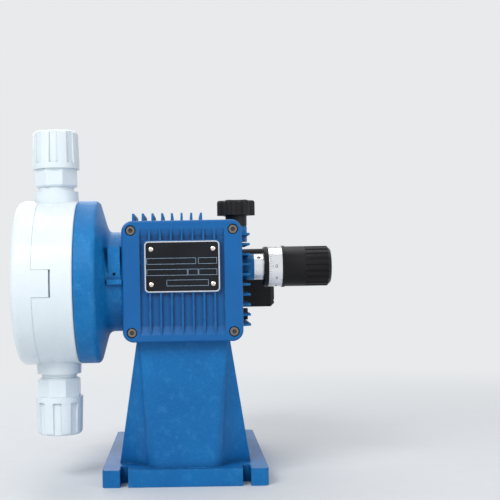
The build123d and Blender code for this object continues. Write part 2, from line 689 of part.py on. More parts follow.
with BuildPart() as case_cover:
    with BuildSketch(across_y(cover_back)):
        RectangleRounded(COVER_WIDTH, COVER_HEIGHT, COVER_CORNER)
    extrude(amount=COVER_THICKNESS)
    front_rim = case_cover.faces().sort_by(Axis.Y)[0]
    fillet(front_rim.edges(), COVER_EDGE)
    # grooves that leave seven ribs, each running out at its top and bottom
    for number in range(GROOVE_COUNT):
        groove_x = (number - (GROOVE_COUNT - 1) / 2) * GROOVE_PITCH
        with BuildSketch(across_x(groove_x - GROOVE_WIDTH / 2)):
            with BuildLine():
                Polyline(
                    (COVER_FRONT - CUT_PAST, GROOVE_TOP),
                    (COVER_FRONT, GROOVE_TOP),
                    (COVER_FRONT + GROOVE_DEPTH, GROOVE_TOP - GROOVE_RAMP),
                    (COVER_FRONT + GROOVE_DEPTH, GROOVE_BOTTOM + GROOVE_RAMP),
                    (COVER_FRONT, GROOVE_BOTTOM),
                    (COVER_FRONT - CUT_PAST, GROOVE_BOTTOM),
                    close=True,
                )
            make_face()
        extrude(amount=GROOVE_WIDTH, mode=Mode.SUBTRACT)
    # pad under the nameplate, level with the ribs
    with BuildSketch(across_y(COVER_FRONT + GROOVE_DEPTH + ROOT_SUNK)):
        with Locations((0, PLATE_RISE)):
            RectangleRounded(PLATE_WIDTH + 2 * PLATE_MARGIN, PLATE_HEIGHT + 2 * PLATE_MARGIN, PLATE_CORNER)
    extrude(amount=GROOVE_DEPTH + ROOT_SUNK)
    # post for the worm's front bearing
    disc(across_y(cover_back, worm_height), FRONT_POST_RADIUS, -FRONT_POST_LENGTH)
    disc(
        across_y(cover_back + FRONT_POST_LENGTH, worm_height),
        FRONT_BEARING_RADIUS,
        FRONT_POST_LENGTH,
        Mode.SUBTRACT,
    )
    cover_holes(COVER_SHANK_RADIUS + SHANK_CLEARANCE, across_y(cover_back), COVER_THICKNESS)
    cover_holes(COVER_COUNTERBORE / 2, across_y(COVER_FRONT + COVER_HEAD_DEPTH), COVER_HEAD_DEPTH + CUT_PAST)
    with BuildSketch(across_y(COVER_FRONT + RIVET_LENGTH)):
        with Locations((0, PLATE_RISE)):
            with GridLocations(2 * RIVET_X, 2 * RIVET_Z, 2, 2):
                Circle(RIVET_SHANK + RUNNING_FIT)
    extrude(amount=RIVET_LENGTH, mode=Mode.SUBTRACT)
write("case_cover", case_cover.part)

with BuildPart() as cover_screws:
    head_seat = COVER_FRONT + COVER_HEAD_DEPTH
    with BuildSketch(across_y(head_seat)):
        with GridLocations(COVER_SCREW_SPACING, COVER_SCREW_SPACING, 2, 2):
            Circle(COVER_HEAD_DIAMETER / 2)
    extrude(amount=COVER_HEAD_HEIGHT)
    with BuildSketch(across_y(case_front + SCREW_REACH)):
        with GridLocations(COVER_SCREW_SPACING, COVER_SCREW_SPACING, 2, 2):
            Circle(COVER_SHANK_RADIUS)
    extrude(amount=case_front + SCREW_REACH - head_seat)
    with BuildSketch(across_y(head_seat - COVER_HEAD_HEIGHT / 2)):
        with GridLocations(COVER_SCREW_SPACING, COVER_SCREW_SPACING, 2, 2):
            RegularPolygon(HEX_SOCKET / 2, 6, major_radius=False)
    extrude(amount=COVER_HEAD_HEIGHT, mode=Mode.SUBTRACT)
write("cover_screws", cover_screws.part)

with BuildPart() as nameplate:
    with BuildSketch(across_y(COVER_FRONT)):
        with Locations((0, PLATE_RISE)):
            RectangleRounded(PLATE_WIDTH, PLATE_HEIGHT, PLATE_CORNER)
            with GridLocations(2 * RIVET_X, 2 * RIVET_Z, 2, 2):
                Circle(RIVET_SHANK + LOOSE_FIT, mode=Mode.SUBTRACT)
    extrude(amount=PLATE_THICKNESS)
write("nameplate", nameplate.part)

with BuildPart() as nameplate_rivets:
    plate_face = COVER_FRONT - PLATE_THICKNESS
    for side in (-1, 1):
        for level in (-1, 1):
            x, rise = side * RIVET_X, PLATE_RISE + level * RIVET_Z
            rivet_axis = Axis((x, 0, AXIS_HEIGHT + rise), (0, 1, 0))
            turned(
                Plane(origin=(x, 0, AXIS_HEIGHT + rise), x_dir=(0, 1, 0), z_dir=(1, 0, 0)),
                rivet_axis,
                [
                    (plate_face + RIVET_LENGTH, 0),
                    (plate_face + RIVET_LENGTH, RIVET_SHANK),
                    (plate_face, RIVET_SHANK),
                    (plate_face, RIVET_RADIUS),
                    (plate_face - RIVET_RADIUS / 3, RIVET_RADIUS * 0.8),
                    (plate_face - RIVET_RADIUS / 2, RIVET_RADIUS * 0.4),
                    (plate_face - RIVET_RADIUS / 2, 0),
                ],
            )
write("nameplate_rivets", nameplate_rivets.part)

# ---------------------------------------------------------------- oil filler and drain
with BuildPart() as filler_seal:
    tube(
        across_z(FILLER_X, FILLER_Y, FILLER_SEAT),
        FILLER_NECK_RADIUS - FILLER_CLEARANCE / 2,
        FILLER_PLUG_RADIUS + LOOSE_FIT,
        FILLER_SEAL_THICKNESS,
    )
write("filler_seal", filler_seal.part)

with BuildPart() as filler_cap:
    disc(
        across_z(FILLER_X, FILLER_Y, FILLER_SEAT - FILLER_BORE_DEPTH + HOLE_SPARE),
        FILLER_PLUG_RADIUS,
        FILLER_BORE_DEPTH,
    )
    disc(
        across_z(FILLER_X, FILLER_Y, FILLER_SEAT + FILLER_SEAL_THICKNESS),
        FILLER_NECK_RADIUS,
        FILLER_CAP_FOOT - FILLER_SEAT - FILLER_SEAL_THICKNESS + ROOT_SUNK,
    )
    with BuildSketch(across_z(FILLER_X, FILLER_Y, FILLER_CAP_FOOT)):
        Circle(FILLER_CAP_RADIUS)
        with PolarLocations(FILLER_CAP_RADIUS + FILLER_LOBE_CUT / 2, FILLER_LOBES, 180 / FILLER_LOBES):
            Circle(FILLER_LOBE_CUT, mode=Mode.SUBTRACT)
    extrude(amount=FILLER_CAP_HEIGHT)
    cap_walls = filler_cap.edges().filter_by(Axis.Z)
    fillet(cap_walls, FILLER_LOBE_EDGE)
    fillet(filler_cap.faces().sort_by(Axis.Z)[-1].edges(), FILLER_CAP_EDGE)
write("filler_cap", filler_cap.part)

with BuildPart() as drain_plug:
    drain_height = AXIS_HEIGHT + DRAIN_RISE
    disc(across_x(room_right, drain_height), DRAIN_RADIUS - LOOSE_FIT, CASE_WALL + DRAIN_HEX_START)
    with BuildSketch(across_x(CASE_RIGHT + DRAIN_HEX_START, drain_height)):
        RegularPolygon(DRAIN_RADIUS - LOOSE_FIT, 6)
    extrude(amount=DRAIN_HEX_HEIGHT)
write("drain_plug", drain_plug.part)

# ---------------------------------------------------------------- pump head
def head_bolt_holes(radius, x, length):
    """The head's ring of bolt holes, cut in the block that is open."""
    with BuildSketch(across_x(x)) as holes:
        with PolarLocations(HEAD_BOLT_CIRCLE, HEAD_BOLT_COUNT, HEAD_BOLT_START):
            Circle(radius)
    extrude(holes.sketch, amount=length, mode=Mode.SUBTRACT)


def tab(outer, inner, height, start, length, mode):
    """The head cover's clips, front and back, or the notches that they lie in."""
    with BuildSketch(across_x(start)) as clip:
        Circle(outer)
        Circle(inner, mode=Mode.SUBTRACT)
        Rectangle(2 * outer, height, mode=Mode.INTERSECT)
    extrude(clip.sketch, amount=length, mode=mode)


recess_end = HEAD_FACE - DIAPHRAGM_THICKNESS + abs(HEAD_FACE - FLANGE_FACE)
with BuildPart() as pump_head:
    turned(
        pump_section,
        pump_axis,
        [
            (HEAD_FACE, LIQUID_ROOM_RADIUS),
            (HEAD_FACE, HEAD_RADIUS - HEAD_EDGE),
            (HEAD_FACE - HEAD_EDGE, HEAD_RADIUS),
            (HEAD_END, HEAD_RADIUS),
            (HEAD_END, 0),
            (recess_end - LIQUID_ROOM_DEPTH, 0),
            (recess_end - LIQUID_ROOM_DEPTH, LIQUID_ROOM_FLOOR),
            (recess_end, LIQUID_ROOM_RADIUS),
        ],
    )
    # bosses that carry the valves
    for level in (-1, 1):
        with BuildSketch(across_z(VALVE_X, 0, level * BOSS_ROOT)) as boss_root:
            Circle(BOSS_ROOT_RADIUS)
        with BuildSketch(across_z(VALVE_X, 0, level * BOSS_REACH)) as boss_face:
            Circle(BOSS_RADIUS)
        loft([boss_root.sketch, boss_face.sketch])
    # the clamped face stays flat beside the bosses, with a recess for the diaphragm
    disc(across_x(HEAD_FACE), HEAD_RADIUS + BOSS_ROOT_RADIUS, BOSS_ROOT_RADIUS, Mode.SUBTRACT)
    disc(across_x(recess_end), DIAPHRAGM_RADIUS + LOOSE_FIT, HEAD_FACE - recess_end, Mode.SUBTRACT)
    # ports from the liquid room to the valves
    for level in (-1, 1):
        disc(
            across_z(VALVE_X, 0, level * (BOSS_REACH - SPIGOT_LENGTH - WORKING_GAP)),
            SPIGOT_RADIUS + LOOSE_FIT,
            level * (SPIGOT_LENGTH + CUT_PAST),
            Mode.SUBTRACT,
        )
        disc(across_z(VALVE_X, 0, 0), PORT_RADIUS, level * BOSS_REACH, Mode.SUBTRACT)
    disc(across_x(VALVE_X), PORT_RADIUS, HEAD_FACE - VALVE_X, Mode.SUBTRACT)
    head_bolt_holes(HEAD_BOLT_RADIUS + SHANK_CLEARANCE, HEAD_END, HEAD_FACE - HEAD_END)
    tab(
        HEAD_RADIUS + CUT_PAST,
        HEAD_RADIUS - TAB_DEPTH,
        TAB_HEIGHT + 2 * LOOSE_FIT,
        HEAD_END,
        TAB_LENGTH + TAB_SLOT,
        Mode.SUBTRACT,
    )
write("pump_head", pump_head.part)

with BuildPart() as head_cover:
    turned(
        pump_section,
        pump_axis,
        [
            (HEAD_END, 0),
            (HEAD_END, HEAD_COVER_RADIUS),
            (HEAD_COVER_END, HEAD_COVER_RADIUS),
            (HEAD_COVER_END, 0),
        ],
    )
    fillet(head_cover.faces().sort_by(Axis.X)[0].edges(), HEAD_COVER_EDGE)
    tab(HEAD_COVER_RADIUS, HEAD_RADIUS - TAB_DEPTH + LOOSE_FIT, TAB_HEIGHT, HEAD_END, TAB_LENGTH, Mode.ADD)
    # notches round the valve bosses
    for level in (-1, 1):
        disc(
            across_z(VALVE_X, 0, level * (BOSS_ROOT - WORKING_GAP)),
            BOSS_ROOT_RADIUS + 2 * WORKING_GAP,
            level * HEAD_RADIUS,
            Mode.SUBTRACT,
        )
    head_bolt_holes(HEAD_BOLT_RADIUS + SHANK_CLEARANCE, HEAD_COVER_END, HEAD_END - HEAD_COVER_END)
    head_bolt_holes(HEAD_BOLT_HEAD + SHANK_CLEARANCE, HEAD_COVER_END - CUT_PAST, HEAD_BOLT_DEPTH + CUT_PAST)
write("head_cover", head_cover.part)

with BuildPart() as head_bolts:
    bolt_seat = HEAD_COVER_END + HEAD_BOLT_DEPTH
    with BuildSketch(across_x(bolt_seat)):
        with PolarLocations(HEAD_BOLT_CIRCLE, HEAD_BOLT_COUNT, HEAD_BOLT_START):
            Circle(HEAD_BOLT_HEAD)
    extrude(amount=-HEAD_BOLT_HEAD_HEIGHT)
    with BuildSketch(across_x(bolt_seat)):
        with PolarLocations(HEAD_BOLT_CIRCLE, HEAD_BOLT_COUNT, HEAD_BOLT_START):
            Circle(HEAD_BOLT_RADIUS)
    extrude(amount=FLANGE_FACE + HEAD_BOLT_REACH - bolt_seat)
    with BuildSketch(across_x(bolt_seat - HEAD_BOLT_HEAD_HEIGHT)):
        with PolarLocations(HEAD_BOLT_CIRCLE, HEAD_BOLT_COUNT, HEAD_BOLT_START):
            RegularPolygon(HEAD_BOLT_SOCKET, 6)
    extrude(amount=HEAD_BOLT_RADIUS, mode=Mode.SUBTRACT)
write("head_bolts", head_bolts.part)

# ---------------------------------------------------------------- valves
valve_top = BOSS_REACH + COLLAR_LENGTH + NUT_LENGTH
union_end = valve_top + UNION_LENGTH


def valve_shell(level):
    """The outside of a valve: spigot, collar, octagonal nut and union thread, in the block that is open."""
    disc(across_z(VALVE_X, 0, level * (BOSS_REACH - SPIGOT_LENGTH)), SPIGOT_RADIUS, level * SPIGOT_LENGTH)
    disc(across_z(VALVE_X, 0, level * BOSS_REACH), COLLAR_RADIUS, level * COLLAR_LENGTH)
    with BuildSketch(across_z(VALVE_X, 0, level * (BOSS_REACH + COLLAR_LENGTH + NUT_CHAMFER))) as nut:
        RegularPolygon(NUT_ACROSS_CORNERS / 2, 8, rotation=22.5)
    extrude(nut.sketch, amount=level * (NUT_LENGTH - NUT_CHAMFER))
    extrude(nut.sketch, amount=-level * NUT_CHAMFER, taper=45)
    disc(across_z(VALVE_X, 0, level * valve_top), UNION_RADIUS, level * UNION_LENGTH)


ball_rise = (BALL_RADIUS**2 - SEAT_HOLE_RADIUS**2) ** 0.5 + BALL_SEAT_GAP
room_length = ball_rise + BALL_RADIUS + BALL_LIFT + BALL_STOP_SPARE

with BuildPart() as discharge_valve:
    valve_shell(1)
    disc(
        across_z(VALVE_X, 0, BOSS_REACH - SPIGOT_LENGTH),
        SEAT_RADIUS,
        DISCHARGE_SEAT_RISE - BOSS_REACH + SPIGOT_LENGTH,
        Mode.SUBTRACT,
    )
    disc(across_z(VALVE_X, 0, DISCHARGE_SEAT_RISE), VALVE_ROOM_RADIUS, room_length, Mode.SUBTRACT)
    disc(across_z(VALVE_X, 0, DISCHARGE_SEAT_RISE), PORT_RADIUS, union_end, Mode.SUBTRACT)
write("discharge_valve", discharge_valve.part)

with BuildPart() as suction_valve:
    valve_shell(-1)
    disc(
        across_z(VALVE_X, 0, SUCTION_SEAT_RISE),
        SEAT_RADIUS,
        -(union_end + SUCTION_SEAT_RISE),
        Mode.SUBTRACT,
    )
    disc(across_z(VALVE_X, 0, SUCTION_SEAT_RISE), VALVE_ROOM_RADIUS, room_length - HOLE_SPARE, Mode.SUBTRACT)
    disc(across_z(VALVE_X, 0, SUCTION_SEAT_RISE), PORT_RADIUS, BOSS_REACH / 2, Mode.SUBTRACT)
write("suction_valve", suction_valve.part)

with BuildPart() as discharge_seat:
    tube(
        across_z(VALVE_X, 0, BOSS_REACH - SPIGOT_LENGTH),
        SEAT_RADIUS - RUNNING_FIT,
        SEAT_HOLE_RADIUS,
        DISCHARGE_SEAT_RISE - BOSS_REACH + SPIGOT_LENGTH,
    )
write("discharge_seat", discharge_seat.part)

with BuildPart() as suction_seat:
    tube(
        across_z(VALVE_X, 0, SUCTION_SEAT_RISE),
        SEAT_RADIUS - RUNNING_FIT,
        SEAT_HOLE_RADIUS,
        -(union_end + SUCTION_SEAT_RISE),
    )
write("suction_seat", suction_seat.part)

with BuildPart() as discharge_ball:
    with Locations((VALVE_X, 0, AXIS_HEIGHT + DISCHARGE_SEAT_RISE + ball_rise)):
        Sphere(BALL_RADIUS)
write("discharge_ball", discharge_ball.part)

with BuildPart() as suction_ball:
    with Locations((VALVE_X, 0, AXIS_HEIGHT + SUCTION_SEAT_RISE + ball_rise)):
        Sphere(BALL_RADIUS)
write("suction_ball", suction_ball.part)

seal_end = union_end + SEAL_THICKNESS
tail_shoulder = seal_end + TAIL_FLANGE
cap_end = valve_top + CAP_LENGTH
level_plane = Plane.XY.offset(AXIS_HEIGHT)

with BuildPart() as discharge_seal:
    tube(across_z(VALVE_X, 0, union_end), SEAL_RADIUS, SEAT_RADIUS, SEAL_THICKNESS)
write("discharge_seal", discharge_seal.part)

with BuildPart() as discharge_tail:
    disc(across_z(VALVE_X, 0, seal_end), UNION_RADIUS - LOOSE_FIT, TAIL_FLANGE)
    disc(across_z(VALVE_X, 0, tail_shoulder), TAIL_RADIUS, cap_end - tail_shoulder)
    disc(across_z(VALVE_X, 0, seal_end), TAIL_BORE_RADIUS, cap_end, Mode.SUBTRACT)
    disc(across_z(VALVE_X, 0, cap_end - SOCKET_DEPTH), SOCKET_RADIUS, SOCKET_DEPTH, Mode.SUBTRACT)
write("discharge_tail", discharge_tail.part)

with BuildPart() as discharge_cap:
    valve_axis = Axis((VALVE_X, 0, AXIS_HEIGHT), (0, 0, 1))
    with BuildSketch(Plane(origin=(VALVE_X, 0, AXIS_HEIGHT), x_dir=(1, 0, 0), z_dir=(0, -1, 0))):
        with BuildLine():
            Polyline(
                (0, valve_top),
                (CAP_INNER_RADIUS, valve_top),
                (CAP_INNER_RADIUS, valve_top + CAP_RING),
                (CAP_OUTER_RADIUS, cap_end - CAP_EDGE),
            )
            RadiusArc(
                (CAP_OUTER_RADIUS, cap_end - CAP_EDGE), (CAP_OUTER_RADIUS - CAP_EDGE, cap_end), -CAP_EDGE
            )
            Polyline((CAP_OUTER_RADIUS - CAP_EDGE, cap_end), (0, cap_end), (0, valve_top))
        make_face()
    revolve(axis=valve_axis)
    # hollows between the grip ribs, from the ring to the outer end
    with BuildSketch(across_z(VALVE_X, 0, valve_top + CAP_RING)):
        Circle(CAP_INNER_RADIUS + CUT_PAST)
        Circle(CAP_OUTER_RADIUS - CAP_RIB_DEPTH, mode=Mode.SUBTRACT)
        with PolarLocations(CAP_INNER_RADIUS, CAP_RIBS, 180 / CAP_RIBS):
            Rectangle(CAP_INNER_RADIUS, CAP_RIB_WIDTH, mode=Mode.SUBTRACT)
    extrude(amount=CAP_LENGTH, mode=Mode.SUBTRACT)
    disc(across_z(VALVE_X, 0, valve_top), UNION_RADIUS + LOOSE_FIT, tail_shoulder - valve_top, Mode.SUBTRACT)
    disc(across_z(VALVE_X, 0, valve_top), TAIL_RADIUS + LOOSE_FIT, CAP_LENGTH, Mode.SUBTRACT)
write("discharge_cap", discharge_cap.part)

for name, piece in (("seal", discharge_seal), ("tail", discharge_tail), ("cap", discharge_cap)):
    with BuildPart() as suction_piece:
        mirror(piece.part, about=level_plane)
    write(f"suction_{name}", suction_piece.part)

# ---------------------------------------------------------------- worm drive
lead = pi * MODULE
thread_length = WORM_TURNS * lead
thread_half = (lead / 2 - THREAD_CLEARANCE) / 2
slope = tan(radians(PRESSURE_ANGLE))
worm_tip = WORM_PITCH_RADIUS + MODULE
rear_bearing_front = CASE_BACK - CASE_FLOOR
front_bearing_back = cover_back + FRONT_POST_LENGTH - BEARING_INSET

with BuildPart() as worm_shaft:
    disc(across_y(cover_back + HOLE_SPARE, worm_height), WORM_FRONT_RADIUS, cover_back)
    thread_end = thread_length / 2 + WORM_RUN_OUT
    disc(across_y(-thread_end, worm_height), WORM_ROOT_RADIUS, -2 * thread_end)
    disc(across_y(thread_end, worm_height), SHAFT_RADIUS, thread_end - FAN_END)
    with BuildLine():
        thread_path = Helix(
            lead,
            thread_length,
            WORM_ROOT_RADIUS,
            center=(0, -thread_length / 2, worm_height),
            direction=(0, 1, 0),
        )
    thread_start = thread_path @ 0
    outward = (thread_start - Vector(0, -thread_length / 2, worm_height)).normalized()
    with BuildSketch(Plane(origin=thread_start, x_dir=outward, z_dir=thread_path % 0)) as thread_section:
        root_half = thread_half + (WORM_PITCH_RADIUS - WORM_ROOT_RADIUS) * slope
        tip_half = thread_half - MODULE * slope
        with BuildLine():
            Polyline(
                (-ROOT_SUNK / 2, -root_half),
                (worm_tip - WORM_ROOT_RADIUS, -tip_half),
                (worm_tip - WORM_ROOT_RADIUS, tip_half),
                (-ROOT_SUNK / 2, root_half),
                close=True,
            )
        make_face()
    sweep(thread_section.sketch, path=thread_path, is_frenet=True)
write("worm_shaft", worm_shaft.part)

wheel_pitch_radius = MODULE * WHEEL_TEETH / 2
wheel_root = wheel_pitch_radius - DEDENDUM * MODULE
wheel_tip = wheel_pitch_radius + MODULE
tooth_foot = thread_half + DEDENDUM * MODULE * slope
# the thread passes a quarter lead before the wheel's middle, so the tooth lies a quarter lead after it
wheel_phase = lead / 4 / wheel_pitch_radius * 180 / pi
wheel_bottom = WORM_DROP - WHEEL_WIDTH / 2

with BuildPart() as worm_wheel:
    with BuildSketch(across_z(wheel_x, 0, wheel_bottom)):
        Circle(wheel_root)
        with PolarLocations(0, WHEEL_TEETH, wheel_phase):
            Polygon(
                (wheel_root - ROOT_SUNK / 2, -tooth_foot),
                (wheel_tip, -tip_half),
                (wheel_tip, tip_half),
                (wheel_root - ROOT_SUNK / 2, tooth_foot),
                align=None,
            )
        Circle(WHEEL_SHAFT_RADIUS, mode=Mode.SUBTRACT)
    extrude(amount=WHEEL_WIDTH)
write("worm_wheel", worm_wheel.part)

journal_bottom = wheel_bottom + WHEEL_WIDTH
bearing_bottom = -BEARING_WIDTH / 2
journal_top = bearing_bottom + BEARING_WIDTH + JOURNAL_SPARE
with BuildPart() as eccentric_shaft:
    disc(
        across_z(wheel_x, 0, room_bottom + BEARING_INSET),
        WHEEL_SHAFT_RADIUS,
        journal_bottom - room_bottom - BEARING_INSET,
    )
    disc(across_z(wheel_x, 0, journal_bottom), SHAFT_COLLAR_RADIUS, bearing_bottom - journal_bottom)
    disc(across_z(wheel_x + ECCENTRICITY, 0, bearing_bottom), JOURNAL_RADIUS, journal_top - bearing_bottom)
write("eccentric_shaft", eccentric_shaft.part)

with BuildPart() as eccentric_bearing:
    tube(
        across_z(wheel_x + ECCENTRICITY, 0, bearing_bottom),
        BEARING_RADIUS,
        JOURNAL_RADIUS + RUNNING_FIT,
        BEARING_WIDTH,
    )
write("eccentric_bearing", eccentric_bearing.part)

with BuildPart() as wheel_bearings:
    for bottom in (room_bottom + BEARING_INSET / 2, post_top - SHAFT_BEARING_WIDTH):
        tube(
            across_z(wheel_x, 0, bottom),
            SHAFT_BEARING_RADIUS - RUNNING_FIT,
            WHEEL_SHAFT_RADIUS + RUNNING_FIT,
            SHAFT_BEARING_WIDTH,
        )
write("wheel_bearings", wheel_bearings.part)

with BuildPart() as worm_front_bearing:
    tube(
        across_y(front_bearing_back, worm_height),
        FRONT_BEARING_RADIUS - RUNNING_FIT,
        WORM_FRONT_RADIUS + RUNNING_FIT,
        FRONT_BEARING_WIDTH,
    )
write("worm_front_bearing", worm_front_bearing.part)

with BuildPart() as worm_rear_bearing:
    tube(
        across_y(rear_bearing_front + REAR_BEARING_WIDTH, worm_height),
        REAR_BEARING_RADIUS - RUNNING_FIT,
        SHAFT_RADIUS + RUNNING_FIT,
        REAR_BEARING_WIDTH,
    )
write("worm_rear_bearing", worm_rear_bearing.part)

# ---------------------------------------------------------------- push rod, spring and diaphragm
# at rest the rod is fully forward, and the eccentric stands away from it
follower_face = wheel_x - ECCENTRICITY - BEARING_RADIUS - CONTACT_GAP
follower_left = follower_face - FOLLOWER_THICKNESS
support_face = recess_end + DIAPHRAGM_THICKNESS
support_back = support_face + SUPPORT_PLATE_THICKNESS
stud_end = support_face - STUD_LENGTH

with BuildPart() as push_rod:
    disc(across_x(follower_left), ROD_RADIUS, support_back - follower_left)
    disc(across_x(support_back), STUD_RADIUS, stud_end - support_back)
write("push_rod", push_rod.part)

with BuildPart() as follower:
    with BuildSketch(across_x(follower_left)):
        with Locations((0, (FOLLOWER_BOTTOM + FOLLOWER_TOP) / 2)):
            RectangleRounded(FOLLOWER_WIDTH, FOLLOWER_TOP - FOLLOWER_BOTTOM, FOLLOWER_CORNER)
    extrude(amount=FOLLOWER_THICKNESS)
write("follower", follower.part)

with BuildPart() as rod_bush:
    tube(
        across_x(SPRING_ROOM_RIGHT),
        BUSH_RADIUS - RUNNING_FIT,
        ROD_RADIUS + RUNNING_FIT,
        GEAR_ROOM_LEFT - SPRING_ROOM_RIGHT,
    )
write("rod_bush", rod_bush.part)

with BuildPart() as spring_seat:
    tube(
        across_x(AIR_ROOM_END),
        SPRING_ROOM_RADIUS - RUNNING_FIT,
        ROD_RADIUS + RUNNING_FIT,
        SPRING_ROOM_LEFT - AIR_ROOM_END,
    )
write("spring_seat", spring_seat.part)

with BuildPart() as spring_collar:
    tube(across_x(COLLET_FACE), COLLET_RADIUS, ROD_RADIUS + RUNNING_FIT, COLLET_THICKNESS)
write("spring_collar", spring_collar.part)

spring_height = COLLET_FACE - SPRING_ROOM_LEFT - SPRING_WIRE - WORKING_GAP
with BuildPart() as return_spring:
    with BuildLine():
        coil = Helix(
            spring_height / SPRING_TURNS,
            spring_height,
            SPRING_RADIUS,
            center=(SPRING_ROOM_LEFT + (SPRING_WIRE + WORKING_GAP) / 2, 0, AXIS_HEIGHT),
            direction=(1, 0, 0),
        )
    with BuildSketch(Plane(origin=coil @ 0, z_dir=coil % 0)) as wire:
        Rectangle(SPRING_WIRE, SPRING_WIRE)
    sweep(wire.sketch, path=coil, is_frenet=True)
write("return_spring", return_spring.part)

with BuildPart() as support_plate:
    tube(
        across_x(support_face), SUPPORT_PLATE_RADIUS, STUD_RADIUS + RUNNING_FIT, SUPPORT_PLATE_THICKNESS
    )
write("support_plate", support_plate.part)

with BuildPart() as diaphragm:
    disc(across_x(recess_end), DIAPHRAGM_RADIUS, DIAPHRAGM_THICKNESS)
    disc(across_x(recess_end), SUPPORT_PLATE_RADIUS / 2, -DIAPHRAGM_BUTTON)
    disc(
        across_x(support_face),
        STUD_RADIUS + RUNNING_FIT,
        stud_end - support_face - WORKING_GAP,
        Mode.SUBTRACT,
    )
write("diaphragm", diaphragm.part)

# ---------------------------------------------------------------- stroke adjuster
stop_rod_tip = follower_face + STROKE + CONTACT_GAP
with BuildPart() as stop_rod:
    disc(across_x(stop_rod_tip, adjuster_height), STOP_ROD_RADIUS, KNOB_END - KNOB_END_WALL - stop_rod_tip)
write("stop_rod", stop_rod.part)

with BuildPart() as scale_sleeve:
    disc(
        across_x(room_right, adjuster_height),
        SLEEVE_SPIGOT_RADIUS - RUNNING_FIT,
        ADJUSTER_BOSS_END - room_right,
    )
    disc(across_x(ADJUSTER_BOSS_END, adjuster_height), SLEEVE_RADIUS, SLEEVE_END - ADJUSTER_BOSS_END)
    disc(
        across_x(room_right, adjuster_height),
        STOP_ROD_RADIUS + RUNNING_FIT,
        SLEEVE_END - room_right,
        Mode.SUBTRACT,
    )
    lock_turn = radians(LOCK_SCREW_ANGLE)
    lock_outward = Vector(0, -cos(lock_turn), sin(lock_turn))
    lock_centre = Vector(LOCK_SCREW_X, 0, adjuster_height)
    disc(
        Plane(origin=lock_centre + lock_outward * LOCK_SCREW_START, z_dir=lock_outward),
        LOCK_SCREW_RADIUS + RUNNING_FIT,
        SLEEVE_RADIUS,
        Mode.SUBTRACT,
    )
write("scale_sleeve", scale_sleeve.part)

with BuildPart() as lock_screw:
    disc(
        Plane(origin=lock_centre + lock_outward * LOCK_SCREW_START, z_dir=lock_outward),
        LOCK_SCREW_RADIUS,
        LOCK_SCREW_LENGTH,
    )
write("lock_screw", lock_screw.part)

with BuildPart() as drum_ring:
    tube(
        across_x(DRUM_START, adjuster_height),
        DRUM_RADIUS,
        SLEEVE_RADIUS + 2 * RUNNING_FIT,
        DRUM_RING_END - DRUM_START,
    )
    fillet(drum_ring.faces().sort_by(Axis.X)[0].edges().sort_by(SortBy.LENGTH)[-1], DRUM_EDGE)
write("drum_ring", drum_ring.part)

with BuildPart() as scale_drum:
    tube(
        across_x(DRUM_RING_END, adjuster_height),
        DRUM_RADIUS,
        SLEEVE_RADIUS + 2 * RUNNING_FIT,
        DRUM_END - DRUM_RING_END,
    )
write("scale_drum", scale_drum.part)

with BuildPart() as stroke_knob:
    disc(across_x(DRUM_END, adjuster_height), KNOB_LIP_RADIUS, KNOB_LIP_END - DRUM_END)
    disc(across_x(KNOB_LIP_END, adjuster_height), DRUM_RADIUS, KNOB_END - KNOB_LIP_END)
    chamfer(stroke_knob.faces().sort_by(Axis.X)[-1].edges(), KNOB_CHAMFER)
    with BuildSketch(across_x(GRIP_START, adjuster_height)):
        with PolarLocations(DRUM_RADIUS + GRIP_FLUTE_RADIUS - GRIP_FLUTE_DEPTH, GRIP_FLUTES):
            Circle(GRIP_FLUTE_RADIUS)
    extrude(amount=KNOB_END - GRIP_START, mode=Mode.SUBTRACT)
    disc(
        across_x(DRUM_END, adjuster_height),
        STOP_ROD_RADIUS + RUNNING_FIT,
        KNOB_END - KNOB_END_WALL - DRUM_END + LOOSE_FIT,
        Mode.SUBTRACT,
    )
write("stroke_knob", stroke_knob.part)

# ---------------------------------------------------------------- motor
with BuildPart() as motor_flange:
    disc(across_y(CASE_BACK, worm_height), MOTOR_FLANGE_RADIUS, CASE_BACK - MOTOR_FLANGE_END)
    disc(
        across_y(CASE_BACK, worm_height),
        SHAFT_RADIUS + WORKING_GAP,
        CASE_BACK - MOTOR_FLANGE_END,
        Mode.SUBTRACT,
    )
write("motor_flange", motor_flange.part)

with BuildPart() as motor_frame:
    with BuildSketch(across_y(MOTOR_FLANGE_END, worm_height)):
        Circle(FRAME_RADIUS)
        with PolarLocations(FRAME_RADIUS, FRAME_FINS):
            Rectangle(2 * (FRAME_FIN_TIP - FRAME_RADIUS), FRAME_FIN_WIDTH)
        Circle(FRAME_RADIUS - FRAME_WALL, mode=Mode.SUBTRACT)
    extrude(amount=MOTOR_FLANGE_END - FRAME_END)
    # pad that carries the terminal box
    with BuildSketch(across_x(FRAME_RADIUS - FRAME_WALL / 2, worm_height)):
        with Locations((BOX_FRONT + BOX_LENGTH / 2, -WORM_DROP + (BOX_BOTTOM + BOX_TOP) / 2)):
            Rectangle(PAD_LENGTH, 2 * PAD_HALF_WIDTH)
    extrude(amount=BOX_START - FRAME_RADIUS + FRAME_WALL / 2)
    disc(
        across_y(MOTOR_FLANGE_END, worm_height),
        FRAME_RADIUS - FRAME_WALL,
        MOTOR_FLANGE_END - FRAME_END,
        Mode.SUBTRACT,
    )
write("motor_frame", motor_frame.part)

with BuildPart() as stator:
    tube(
        across_y(STATOR_START, worm_height),
        FRAME_RADIUS - FRAME_WALL - RUNNING_FIT,
        STATOR_BORE,
        STATOR_START - STATOR_END,
    )
    for start in (STATOR_START, STATOR_END + WINDING_LENGTH):
        tube(across_y(start, worm_height), WINDING_RADIUS, WINDING_BORE, WINDING_LENGTH)
write("stator", stator.part)

